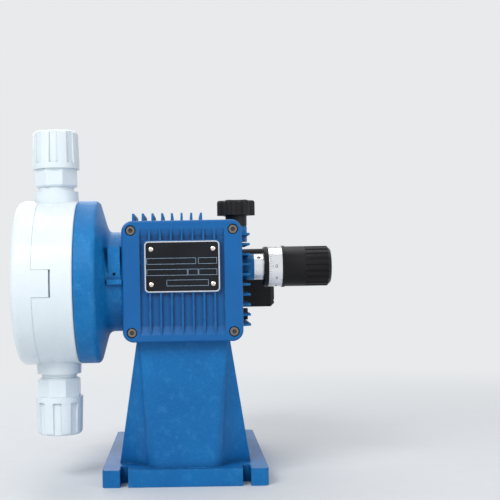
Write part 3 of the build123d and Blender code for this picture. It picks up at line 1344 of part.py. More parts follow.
with BuildPart() as rotor:
    tube(
        across_y(STATOR_START, worm_height),
        ROTOR_RADIUS,
        SHAFT_RADIUS + RUNNING_FIT,
        STATOR_START - STATOR_END,
    )
write("rotor", rotor.part)

with BuildPart() as rear_shield:
    disc(across_y(FRAME_END, worm_height), FRAME_FIN_TIP, FRAME_END - COWL_START)
    disc(
        across_y(COWL_START, worm_height),
        COWL_RADIUS - COWL_WALL - LOOSE_FIT,
        COWL_START - REAR_SHIELD_END,
    )
    disc(across_y(FRAME_END, worm_height), REAR_BEARING_RADIUS, -REAR_BEARING_WIDTH, Mode.SUBTRACT)
    disc(
        across_y(FRAME_END, worm_height),
        SHAFT_RADIUS + WORKING_GAP,
        FRAME_END - REAR_SHIELD_END,
        Mode.SUBTRACT,
    )
write("rear_shield", rear_shield.part)

with BuildPart() as motor_rear_bearing:
    tube(
        across_y(FRAME_END, worm_height),
        REAR_BEARING_RADIUS - RUNNING_FIT,
        SHAFT_RADIUS + RUNNING_FIT,
        -REAR_BEARING_WIDTH,
    )
write("motor_rear_bearing", motor_rear_bearing.part)

with BuildPart() as fan:
    tube(across_y(FAN_START, worm_height), FAN_HUB_RADIUS, SHAFT_RADIUS + RUNNING_FIT, FAN_START - FAN_END)
    tube(across_y(FAN_START, worm_height), FAN_RADIUS, SHAFT_RADIUS + RUNNING_FIT, -FAN_BLADE)
    with BuildSketch(across_y(FAN_START, worm_height)):
        with PolarLocations((FAN_HUB_RADIUS + FAN_RADIUS) / 2, FAN_BLADES):
            Rectangle(FAN_RADIUS - FAN_HUB_RADIUS + ROOT_SUNK, FAN_BLADE)
    extrude(amount=FAN_START - FAN_END)
write("fan", fan.part)

cowl_inner = COWL_RADIUS - COWL_WALL
cowl_curve = MOTOR_END - COWL_EDGE
with BuildPart() as fan_cowl:
    with BuildSketch(motor_section):
        with BuildLine():
            Polyline((MOTOR_END, 0), (MOTOR_END, COWL_RADIUS - COWL_EDGE))
            RadiusArc((MOTOR_END, COWL_RADIUS - COWL_EDGE), (cowl_curve, COWL_RADIUS), -COWL_EDGE)
            Polyline((cowl_curve, COWL_RADIUS), (COWL_START, COWL_RADIUS), (COWL_START, cowl_inner))
            Line((COWL_START, cowl_inner), (cowl_curve, cowl_inner))
            inner_end = (MOTOR_END - COWL_WALL, COWL_RADIUS - COWL_EDGE)
            RadiusArc((cowl_curve, cowl_inner), inner_end, COWL_EDGE - COWL_WALL)
            Polyline(inner_end, (MOTOR_END - COWL_WALL, 0), (MOTOR_END, 0))
        make_face()
    revolve(axis=motor_axis)
    # grille of ring slots between spokes
    for number in range(GRILLE_RINGS):
        with BuildSketch(across_y(MOTOR_END, worm_height)):
            Circle(GRILLE_FIRST + number * GRILLE_PITCH + GRILLE_SLOT)
            Circle(GRILLE_FIRST + number * GRILLE_PITCH, mode=Mode.SUBTRACT)
            with PolarLocations(COWL_RADIUS / 2, GRILLE_SPOKES):
                Rectangle(COWL_RADIUS, GRILLE_SPOKE, mode=Mode.SUBTRACT)
        extrude(amount=2 * COWL_WALL, mode=Mode.SUBTRACT)
write("fan_cowl", fan_cowl.part)

box_middle_y = BOX_FRONT + BOX_LENGTH / 2
box_middle_rise = (BOX_BOTTOM + BOX_TOP) / 2
box_height = BOX_TOP - BOX_BOTTOM

with BuildPart() as terminal_box:
    with BuildSketch(across_x(BOX_START)):
        with Locations((box_middle_y, box_middle_rise)):
            RectangleRounded(BOX_LENGTH, box_height, BOX_CORNER)
    extrude(amount=BOX_SPLIT - BOX_START)
    with BuildSketch(across_x(BOX_START + BOX_WALL)):
        with Locations((box_middle_y, box_middle_rise)):
            RectangleRounded(BOX_LENGTH - 2 * BOX_WALL, box_height - 2 * BOX_WALL, BOX_CORNER - BOX_WALL)
            with GridLocations(BOX_LENGTH - 2 * LID_SCREW_INSET, box_height - 2 * LID_SCREW_INSET, 2, 2):
                Rectangle(2 * LID_SCREW_INSET, 2 * LID_SCREW_INSET, mode=Mode.SUBTRACT)
    extrude(amount=BOX_SPLIT, mode=Mode.SUBTRACT)
    gland_x = (BOX_START + BOX_SPLIT) / 2
    gland_mouth = (gland_x, BOX_FRONT + BOX_LENGTH + CUT_PAST, AXIS_HEIGHT + box_middle_rise)
    disc(
        Plane(origin=gland_mouth, z_dir=(0, -1, 0)),
        GLAND_NECK_RADIUS + LOOSE_FIT,
        BOX_WALL + 2 * CUT_PAST,
        Mode.SUBTRACT,
    )
write("terminal_box", terminal_box.part)

with BuildPart() as terminal_lid:
    with BuildSketch(across_x(BOX_SPLIT)):
        with Locations((box_middle_y, box_middle_rise)):
            RectangleRounded(BOX_LENGTH, box_height, BOX_CORNER)
    extrude(amount=BOX_OUTER - BOX_SPLIT)
    chamfer(terminal_lid.faces().sort_by(Axis.X)[-1].edges(), LID_CHAMFER)
    with BuildSketch(across_x(BOX_OUTER - LID_CHAMFER)):
        with Locations((box_middle_y, box_middle_rise)):
            with GridLocations(BOX_LENGTH - 2 * LID_SCREW_INSET, box_height - 2 * LID_SCREW_INSET, 2, 2):
                Circle(LID_SCREW_RADIUS + LOOSE_FIT)
    extrude(amount=LID_CHAMFER, mode=Mode.SUBTRACT)
write("terminal_lid", terminal_lid.part)

with BuildPart() as lid_screws:
    with BuildSketch(across_x(BOX_OUTER - LID_CHAMFER)):
        with Locations((box_middle_y, box_middle_rise)):
            with GridLocations(BOX_LENGTH - 2 * LID_SCREW_INSET, box_height - 2 * LID_SCREW_INSET, 2, 2):
                Circle(LID_SCREW_RADIUS)
    extrude(amount=LID_SCREW_HEIGHT)
    with BuildSketch(across_x(BOX_OUTER - LID_CHAMFER + LID_SCREW_HEIGHT - LID_SCREW_SLOT)):
        with Locations((box_middle_y, box_middle_rise)):
            with GridLocations(BOX_LENGTH - 2 * LID_SCREW_INSET, box_height - 2 * LID_SCREW_INSET, 2, 2):
                Rectangle(2 * LID_SCREW_RADIUS, LID_SCREW_SLOT)
    extrude(amount=2 * LID_SCREW_SLOT, mode=Mode.SUBTRACT)
write("lid_screws", lid_screws.part)

with BuildPart() as cable_gland:
    gland_base = Plane(
        origin=(gland_x, BOX_FRONT + BOX_LENGTH, AXIS_HEIGHT + box_middle_rise),
        x_dir=(1, 0, 0),
        z_dir=(0, 1, 0),
    )
    with BuildSketch(gland_base):
        RegularPolygon(GLAND_HEX_RADIUS, 6)
    extrude(amount=GLAND_HEX_LENGTH)
    disc(gland_base, GLAND_RADIUS, GLAND_LENGTH)
    disc(gland_base, GLAND_NECK_RADIUS, -BOX_WALL)
    fillet(cable_gland.faces().sort_by(Axis.Y)[-1].edges(), GLAND_EDGE)
    disc(gland_base.offset(-BOX_WALL), GLAND_BORE, GLAND_LENGTH + BOX_WALL, Mode.SUBTRACT)
write("cable_gland", cable_gland.part)
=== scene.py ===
"""Looks of the motor-driven diaphragm metering pump: paint, mouldings, metals, plate rulings and dial marks.

Metres, in the pump's own frame: +Z up, pump head at -X, stroke knob at +X, motor behind the gear case at +Y.
"""

import math

import bpy
from mathutils import Matrix, Vector


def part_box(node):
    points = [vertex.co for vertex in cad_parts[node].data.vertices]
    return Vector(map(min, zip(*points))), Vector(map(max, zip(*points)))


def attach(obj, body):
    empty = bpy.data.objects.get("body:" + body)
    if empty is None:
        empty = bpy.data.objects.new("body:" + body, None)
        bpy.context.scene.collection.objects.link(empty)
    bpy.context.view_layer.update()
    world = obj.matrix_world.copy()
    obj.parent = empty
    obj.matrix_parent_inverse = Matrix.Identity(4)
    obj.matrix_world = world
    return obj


MM = 0.001

# Camera
CAMERA_PLACE = (0.0019, -1.105, 0.2170)
CAMERA_LENS = 75.6
CAMERA_SENSOR = 36.0
CAMERA_SHIFT = (0.1318, 0.042)
CAMERA_ROLL = math.radians(-0.95)

# Paints and mouldings, as the eye sees them (sRGB, 0 to 255)
CASTING_BLUE = (16, 118, 184)
CASTING_BLUE_DEEP = (4, 90, 154)
PEDESTAL_BLUE = (12, 110, 176)
PEDESTAL_BLUE_DEEP = (4, 84, 148)
COVER_BLUE = (6, 98, 165)
COVER_BLUE_DEEP = (2, 80, 144)
# painted shade: the dark blue that the paints take in tight corners and recesses
CORNER_SHADE_BLUE = (2, 40, 88)
# pale blue of the casting grain and thin paint, also used as a painted highlight along the paints' edges
GRAIN_AND_HIGHLIGHT_BLUE = (70, 158, 214)
HEAD_WHITE = (229, 238, 243)
HEAD_WHITE_SHADE = (214, 226, 232)
# painted shade: the grey that the white mouldings take in their joints and tight corners
HEAD_CORNER_SHADE = (150, 166, 176)
KNOB_BLACK = (18, 17, 20)
KNOB_BLACK_WORN = (52, 51, 56)
BOX_BLACK = (16, 15, 18)
BOX_BLACK_WORN = (44, 43, 47)
# near black for the metals' tight corners: oily dirt and painted shade
GRIME_AND_CORNER_SHADE = (22, 19, 18)
PLATE_BLACK = (12, 15, 20)
PLATE_BLACK_WORN = (34, 40, 50)
PLATE_SILVER = (206, 210, 216)
PLATE_LINE = (132, 158, 184)
FLOOR_PALE = (222, 224, 226)
BACKDROP_PALE = (232, 234, 236)
SEAL_BLACK = (30, 30, 30)
SEAL_BLACK_WORN = (56, 56, 54)
CERAMIC_CREAM = (236, 228, 210)
CERAMIC_CREAM_WORN = (214, 204, 184)
DIAPHRAGM_WHITE = (228, 226, 218)
DIAPHRAGM_WHITE_WORN = (204, 200, 190)
PAINT_DUST = (150, 160, 168)
MOULDING_DUST = (168, 168, 164)

# Metals, in the same way
CHROME = (240, 241, 244)
CHROME_STAINED = (196, 200, 208)
ALUMINIUM = (236, 237, 241)
ALUMINIUM_STAINED = (198, 200, 206)
ZINC = (132, 124, 116)
ZINC_STAINED = (74, 62, 52)
RIVET_STEEL = (236, 224, 214)
RIVET_STEEL_STAINED = (170, 160, 150)
SHAFT_STEEL = (176, 178, 182)
SHAFT_STEEL_STAINED = (120, 122, 126)
ROD_STEEL = (184, 186, 190)
ROD_STEEL_STAINED = (128, 130, 134)
BRONZE = (178, 128, 64)
BRONZE_STAINED = (122, 84, 44)
CORE_STEEL = (96, 98, 104)
COPPER = (158, 82, 44)
COPPER_SHADE = (52, 40, 34)
RINGS_PER_METRE = 4200.0  # that a lathe leaves on a turned face
CORE_SHEET = 0.7 * MM
END_TURNS = 12.0 * MM  # how far the copper stands out of each end of the core

# Room: metres and watts
FLOOR_REACH = 4.0
FLOOR_FADE = (0.5, 1.3)  # where the floor passes into the backdrop
ROOM_COLOUR = (0.92, 0.96, 1.0, 1.0)
ROOM_STRENGTH = 0.4
LAMPS = {
    "key": ((-0.9, -1.5, 1.5), (0.0, 0.0, 0.2), 1.0, 28.0),
    "fill": ((1.3, -1.3, 0.8), (0.0, 0.0, 0.2), 1.2, 7.0),
    "top": ((0.1, 0.3, 1.7), (0.0, 0.0, 0.2), 1.2, 7.0),
    "back": ((-0.5, 1.6, 1.1), (0.0, 0.1, 0.2), 1.2, 9.0),
}

# Dial marks on the scale drum
DIAL_DIVISIONS = 50
DIAL_NUMBERS = 10
DIAL_MARK_WIDTH = 0.28 * MM
DIAL_SHORT_MARK = 2.6 * MM
DIAL_LONG_MARK = 4.4 * MM
DIAL_MARK_START = 0.4 * MM
DIAL_NUMBER_HEIGHT = 3.8 * MM
DIAL_NUMBER_SIZE = 1.4 * DIAL_NUMBER_HEIGHT  # type size that gives figures of that height
DIAL_NUMBER_START = DIAL_MARK_START + DIAL_LONG_MARK + 0.75 * DIAL_NUMBER_HEIGHT
DIAL_INK = (44, 48, 58)
INDEX_RED = (150, 30, 34)
MARK_RISE = 0.03 * MM

# Hex screws that hold the fan cowl, and the line that the scale drum is read against
COWL_SCREWS = 4
COWL_SCREW_RADIUS = 3.6 * MM
COWL_SCREW_HEIGHT = 2.6 * MM
COWL_SCREW_INSET = 5.0 * MM
COWL_SCREW_SUNK = 0.25 * MM
WASHER_SHARE = 1.3  # of the hexagon's radius
CROWN_SHARE = 0.8
CROWN_DEPTH_SHARE = 0.15
WASHER_HEIGHT = 0.7 * MM
SCREW_SIDES = 24
INDEX_LENGTH = 5.0 * MM
INDEX_WIDTH = 0.5 * MM
INDEX_GAP = 0.2 * MM  # between the line and the drum

# Rulings on the nameplate
PLATE_EDGE_WIDTH = 1.1 * MM
PLATE_EDGE_RISE = 0.12 * MM
PLATE_CORNER = 4.0 * MM
RULING_WIDTH = 0.35 * MM
RULING_RISE = 0.05 * MM
RULING_CORNER = 0.4 * MM
SHARPEST_CORNER = 0.02 * MM
RULED_ROW_HEIGHT = 6.2 * MM
# rise of each row, and the left and right ends of its boxes,
# as shares of the plate's half height and half width
RULED_ROWS = {
    0.22: ((-0.95, 0.37), (0.43, 0.93)),
    -0.22: ((-0.95, 0.14), (0.15, 0.43), (0.44, 0.93)),
    -0.64: ((-0.42, 0.7),),
}


def linear(colour):
    """An sRGB colour, 0 to 255, as the linear RGBA that shaders take."""
    parts = [c / 255 for c in colour]
    return tuple(p / 12.92 if p <= 0.04045 else ((p + 0.055) / 1.055) ** 2.4 for p in parts) + (1.0,)


class Network:
    """The nodes of one material or one node group, with short ways to add and join them."""

    def __init__(self, tree):
        self.tree = tree

    def add(self, kind, inputs=None, **settings):
        node = self.tree.nodes.new("ShaderNode" + kind)
        node.location = (200 * (len(self.tree.nodes) % 8), -260 * (len(self.tree.nodes) // 8))
        for name, value in settings.items():
            setattr(node, name, value)
        for socket, value in (inputs or {}).items():
            self.feed(node.inputs[socket], value)
        return node

    def feed(self, socket, value):
        if isinstance(value, bpy.types.NodeSocket):
            self.tree.links.new(value, socket)
        else:
            socket.default_value = value

    def math(self, operation, first, second=0.0, clamp=False):
        node = self.add("Math", {0: first, 1: second}, operation=operation, use_clamp=clamp)
        return node.outputs[0]

    def vector(self, operation, first, second=(0.0, 0.0, 0.0)):
        node = self.add("VectorMath", {0: first, 1: second}, operation=operation)
        return node.outputs["Value" if operation in ("DOT_PRODUCT", "LENGTH") else "Vector"]

    def blend(self, amount, first, second):
        node = self.add("Mix", data_type="RGBA")
        for socket, value in ((0, amount), (6, first), (7, second)):
            self.feed(node.inputs[socket], value)
        return node.outputs[2]

    def span(self, value, low, high, new_low=0.0, new_high=1.0):
        inputs = {"Value": value, "From Min": low, "From Max": high, "To Min": new_low, "To Max": new_high}
        return self.add("MapRange", inputs, interpolation_type="SMOOTHSTEP").outputs["Result"]

    def noise(self, place, scale, detail=3.0, roughness=0.5):
        inputs = {"Vector": place, "Scale": scale, "Detail": detail, "Roughness": roughness}
        return self.add("TexNoise", inputs).outputs["Fac"]

    def place(self):
        return self.add("TexCoord").outputs["Object"]

    def group(self, group, **inputs):
        node = self.add("Group")
        node.node_tree = group
        for name, value in inputs.items():
            self.feed(node.inputs[name.replace("_", " ")], value)
        return node.outputs


def new_group(name, inputs, outputs):
    """An empty node group. Sockets are name: default, and a tuple of three is a vector."""
    tree = bpy.data.node_groups.new(name, "ShaderNodeTree")
    for way, sockets in (("INPUT", inputs), ("OUTPUT", outputs)):
        for socket, default in sockets.items():
            kind = "NodeSocketVector" if isinstance(default, tuple) else "NodeSocketFloat"
            made = tree.interface.new_socket(name=socket, in_out=way, socket_type=kind)
            made.default_value = default
    network = Network(tree)
    taken = tree.nodes.new("NodeGroupInput").outputs
    given = tree.nodes.new("NodeGroupOutput").inputs
    return network, taken, given


def rounded_edge_group():
    """Rounds sharp arrises in the shading and gives a patchy edge mask: rubbed wear on the mouldings,
    painted edge highlight on the paints.
    """
    network, taken, given = new_group(
        "rounded edge", {"Radius": 0.001, "Patch Scale": 160.0}, {"Normal": (0.0, 0.0, 1.0), "Edge Rub And Highlight": 0.0}
    )
    bevel = network.add("Bevel", {"Radius": taken["Radius"]}, samples=4)
    true_normal = network.add("NewGeometry").outputs["Normal"]
    turn = network.vector("DOT_PRODUCT", bevel.outputs["Normal"], true_normal)
    edge = network.span(turn, 0.995, 0.9)
    patches = network.span(network.noise(network.place(), taken["Patch Scale"], 4.0), 0.45, 0.62)
    network.feed(given["Normal"], bevel.outputs["Normal"])
    network.feed(given["Edge Rub And Highlight"], network.math("MULTIPLY", edge, patches))
    return network.tree


def casting_group():
    """Sand-cast skin under paint: grain with scattered pits, a slow drift of tone, thinner patches."""
    network, taken, given = new_group(
        "sand casting",
        {"Grain Scale": 600.0, "Pit Scale": 130.0},
        {"Height": 0.0, "Tone": 0.0, "Speckle": 0.0, "Thin": 0.0},
    )
    place = network.place()
    grain = network.noise(place, taken["Grain Scale"], 4.0, 0.65)
    lumps = network.noise(place, network.math("MULTIPLY", taken["Grain Scale"], 0.22), 2.0)
    cells = network.add("TexVoronoi", {"Vector": place, "Scale": taken["Pit Scale"]}, feature="F1")
    pits = network.span(cells.outputs["Distance"], 0.16, 0.05)
    rough = network.math("ADD", network.math("MULTIPLY", grain, 0.6), network.math("MULTIPLY", lumps, 0.4))
    network.feed(given["Height"], network.math("SUBTRACT", rough, network.math("MULTIPLY", pits, 0.5)))
    drift = network.span(network.noise(place, 16.0, 3.0), 0.25, 0.8)
    network.feed(given["Tone"], network.math("ADD", network.math("MULTIPLY", drift, 0.5), 0.5))
    network.feed(given["Speckle"], network.span(grain, 0.52, 0.68))
    network.feed(given["Thin"], network.span(network.noise(place, 95.0, 8.0, 0.72), 0.5, 0.66))
    return network.tree


def paint_flow_group():
    """Orange peel of sprayed enamel over a smooth casting, with a slow drift of tone."""
    network, taken, given = new_group("paint flow", {"Peel Scale": 420.0}, {"Height": 0.0, "Tone": 0.0})
    place = network.place()
    peel = network.noise(place, taken["Peel Scale"], 1.5, 0.4)
    dust = network.noise(place, network.math("MULTIPLY", taken["Peel Scale"], 5.0), 2.0)
    height = network.math("ADD", network.math("MULTIPLY", peel, 0.8), network.math("MULTIPLY", dust, 0.2))
    network.feed(given["Height"], height)
    drift = network.span(network.noise(place, 14.0, 3.0), 0.25, 0.8)
    network.feed(given["Tone"], network.math("ADD", network.math("MULTIPLY", drift, 0.5), 0.5))
    return network.tree


def moulding_group():
    """Skin of an injection moulding: fine spark-eroded grain, sink and flow marks."""
    network, taken, given = new_group(
        "moulding", {"Grain Scale": 1400.0}, {"Height": 0.0, "Tone": 0.0, "Flow": 0.0}
    )
    place = network.place()
    grain = network.noise(place, taken["Grain Scale"], 3.0, 0.6)
    sink = network.noise(place, 22.0, 2.0)
    flow = network.add("TexWave", {"Vector": place, "Scale": 9.0, "Distortion": 5.0, "Detail": 3.0})
    height = network.math("ADD", network.math("MULTIPLY", grain, 0.25), sink)
    network.feed(given["Height"], height)
    network.feed(given["Tone"], network.span(sink, 0.35, 0.7))
    network.feed(given["Flow"], network.math("MULTIPLY", flow.outputs["Fac"], grain))
    return network.tree


def turned_group():
    """Marks that a lathe leaves: fine rings round an axis, on the rim and on the end faces."""
    network, taken, given = new_group(
        "turned marks", {"Axis": (1.0, 0.0, 0.0), "Centre": (0.0, 0.0, 0.0)}, {"Height": 0.0, "Scuff": 0.0}
    )
    out = network.vector("SUBTRACT", network.place(), taken["Centre"])
    along = network.vector("DOT_PRODUCT", out, taken["Axis"])
    across = network.vector("LENGTH", network.vector("CROSS_PRODUCT", out, taken["Axis"]))
    lengthwise = network.math("MULTIPLY", along, RINGS_PER_METRE)
    crosswise = network.math("MULTIPLY", across, RINGS_PER_METRE)
    feed = network.math("ADD", lengthwise, crosswise)
    spread = {"W": feed, "Scale": 1.0, "Detail": 2.0}
    rings = network.add("TexNoise", spread, noise_dimensions="1D").outputs["Fac"]
    scuff = network.span(network.noise(out, 240.0, 5.0, 0.7), 0.52, 0.7)
    network.feed(given["Height"], rings)
    network.feed(given["Scuff"], scuff)
    return network.tree


def dust_and_shade_group():
    """Dust that settles on faces that look up, and a mask of tight corners, from ambient occlusion, where
    the materials paint shade (oily dirt and painted shade on the metals).
    """
    network, taken, given = new_group("dust_and_shade", {"Reach": 0.006}, {"Dust": 0.0, "Corner Shade": 0.0})
    up = network.add("SeparateXYZ", {0: network.add("NewGeometry").outputs["Normal"]}).outputs["Z"]
    patches = network.span(network.noise(network.place(), 70.0, 5.0, 0.6), 0.4, 0.75)
    network.feed(given["Dust"], network.math("MULTIPLY", network.span(up, 0.5, 1.0), patches))
    # ambient occlusion: dark where shade falls in tight corners; the materials paint this in as shade
    shade = network.add("AmbientOcclusion", {"Distance": taken["Reach"]}, samples=4, only_local=True)
    network.feed(given["Corner Shade"], network.span(shade.outputs["AO"], 0.9, 0.3))
    return network.tree


def new_material(name):
    """A material with a bare Principled shader; returns its network and that shader."""
    material = bpy.data.materials.new(name)
    material.use_nodes = True
    material.node_tree.nodes.clear()
    network = Network(material.node_tree)
    shader = network.add("BsdfPrincipled")
    network.add("OutputMaterial", {"Surface": shader.outputs["BSDF"]})
    return material, network, shader


def finish_surface(network, shader, colour, roughness, height, normal, strength, depth):
    """Feeds the shader's changing colour, roughness and relief."""
    bump = network.add("Bump", {"Strength": strength, "Distance": depth, "Height": height, "Normal": normal})
    network.feed(shader.inputs["Base Color"], colour)
    network.feed(shader.inputs["Roughness"], roughness)
    network.feed(shader.inputs["Normal"], bump.outputs["Normal"])


class Finishes:
    """The node groups, and the materials made from them."""

    def __init__(self):
        self.edge = rounded_edge_group()
        self.casting = casting_group()
        self.flow = paint_flow_group()
        self.moulding = moulding_group()
        self.turned = turned_group()
        self.dust_and_shade = dust_and_shade_group()

    def cast_paint(self, name, colour, deep, grain, strength, roughness, thin):
        """Thick enamel over a sand casting."""
        material, network, shader = new_material(name)
        skin = network.group(self.casting, Grain_Scale=grain)
        edge = network.group(self.edge, Radius=1.4 * MM)
        dust_and_shade = network.group(self.dust_and_shade, Reach=12.0 * MM)
        tone = network.blend(skin["Tone"], linear(deep), linear(colour))
        tone = network.blend(network.math("MULTIPLY", skin["Thin"], thin), tone, linear(GRAIN_AND_HIGHLIGHT_BLUE))
        tone = network.blend(network.math("MULTIPLY", skin["Speckle"], 0.22), tone, linear(GRAIN_AND_HIGHLIGHT_BLUE))
        # painted shade: darker blue in tight corners and recesses
        tone = network.blend(network.math("MULTIPLY", dust_and_shade["Corner Shade"], 0.6), tone, linear(CORNER_SHADE_BLUE))
        # painted highlight: paler blue on patches of the edges
        tone = network.blend(network.math("MULTIPLY", edge["Edge Rub And Highlight"], 0.35), tone, linear(GRAIN_AND_HIGHLIGHT_BLUE))
        tone = network.blend(network.math("MULTIPLY", dust_and_shade["Dust"], 0.06), tone, linear(PAINT_DUST))
        rough = network.span(skin["Tone"], 0.0, 1.0, roughness + 0.1, roughness)
        finish_surface(network, shader, tone, rough, skin["Height"], edge["Normal"], strength, 0.7 * MM)
        shader.inputs["Specular IOR Level"].default_value = 0.22
        shader.inputs["Coat Roughness"].default_value = 0.25
        shader.inputs["Coat Weight"].default_value = 0.03
        return material

    def smooth_paint(self, name, colour, deep, roughness):
        """Sprayed enamel over a machined or die-cast piece."""
        material, network, shader = new_material(name)
        flow = network.group(self.flow)
        edge = network.group(self.edge, Radius=1.0 * MM)
        dust_and_shade = network.group(self.dust_and_shade, Reach=9.0 * MM)
        tone = network.blend(flow["Tone"], linear(deep), linear(colour))
        # painted shade: darker blue in tight corners and recesses
        tone = network.blend(network.math("MULTIPLY", dust_and_shade["Corner Shade"], 0.8), tone, linear(CORNER_SHADE_BLUE))
        # painted highlight: paler blue on patches of the edges
        tone = network.blend(network.math("MULTIPLY", edge["Edge Rub And Highlight"], 0.45), tone, linear(GRAIN_AND_HIGHLIGHT_BLUE))
        rough = network.span(flow["Tone"], 0.0, 1.0, roughness + 0.08, roughness)
        finish_surface(network, shader, tone, rough, flow["Height"], edge["Normal"], 0.12, 0.3 * MM)
        shader.inputs["Specular IOR Level"].default_value = 0.3
        shader.inputs["Coat Weight"].default_value = 0.08
        shader.inputs["Coat Roughness"].default_value = 0.2
        return material

    def plastic(self, name, colour, worn, roughness, grain, strength, rub, corner_shade=None, shine=0.5):
        """A moulding, with its grain, its handled edges and, where a corner colour is given, painted shade
        in its joints and tight corners.
        """
        material, network, shader = new_material(name)
        skin = network.group(self.moulding, Grain_Scale=grain)
        edge = network.group(self.edge, Radius=0.7 * MM)
        dust_and_shade = network.group(self.dust_and_shade, Reach=3.0 * MM)
        tone = network.blend(network.math("MULTIPLY", skin["Tone"], 0.3), linear(colour), linear(worn))
        tone = network.blend(network.math("MULTIPLY", edge["Edge Rub And Highlight"], rub), tone, linear(worn))
        # painted shade in joints and tight corners, where a corner colour is given
        tone = network.blend(network.math("MULTIPLY", dust_and_shade["Corner Shade"], 0.5), tone, linear(corner_shade or colour))
        tone = network.blend(network.math("MULTIPLY", dust_and_shade["Dust"], 0.04), tone, linear(MOULDING_DUST))
        rough = network.span(skin["Flow"], 0.1, 0.7, roughness, roughness + 0.1)
        finish_surface(network, shader, tone, rough, skin["Height"], edge["Normal"], strength, 0.4 * MM)
        shader.inputs["Specular IOR Level"].default_value = shine
        return material

    def metal(self, name, colour, stained, axis, centre, roughness, strength):
        """A turned or ground metal piece."""
        material, network, shader = new_material(name)
        marks = network.group(self.turned, Axis=axis, Centre=centre)
        edge = network.group(self.edge, Radius=0.4 * MM)
        tone = network.blend(network.math("MULTIPLY", marks["Scuff"], 0.5), linear(colour), linear(stained))
        dust_and_shade = network.group(self.dust_and_shade, Reach=3.0 * MM)
        # near black in tight corners: oily dirt and painted shade
        tone = network.blend(network.math("MULTIPLY", dust_and_shade["Corner Shade"], 0.9), tone, linear(GRIME_AND_CORNER_SHADE))
        rough = network.span(marks["Scuff"], 0.0, 1.0, roughness, roughness + 0.14)
        finish_surface(network, shader, tone, rough, marks["Height"], edge["Normal"], strength, 0.05 * MM)
        shader.inputs["Metallic"].default_value = 1.0
        return material

    def windings(self, name):
        """Lacquered copper outside the core pack, stamped steel sheets within it."""
        material, network, shader = new_material(name)
        place = network.place()
        along = network.add("SeparateXYZ", {0: place}).outputs["Y"]
        low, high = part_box("stator")
        middle = (low.y + high.y) / 2
        away = network.math("ABSOLUTE", network.math("SUBTRACT", along, middle))
        copper = network.math("GREATER_THAN", away, (high.y - low.y) / 2 - END_TURNS)
        sheets = network.math("SINE", network.math("MULTIPLY", along, 2 * math.pi / CORE_SHEET))
        strands = network.noise(place, 900.0, 4.0, 0.7)
        tone = network.blend(copper, linear(CORE_STEEL), linear(COPPER))
        tone = network.blend(network.math("MULTIPLY", strands, 0.4), tone, linear(COPPER_SHADE))
        normal = network.add("NewGeometry").outputs["Normal"]
        height = network.add("Mix", {0: copper, 2: sheets, 3: strands}).outputs[0]
        rough = network.span(strands, 0.2, 0.8, 0.3, 0.5)
        finish_surface(network, shader, tone, rough, height, normal, 0.4, 0.2 * MM)
        shader.inputs["Metallic"].default_value = 0.8
        return material


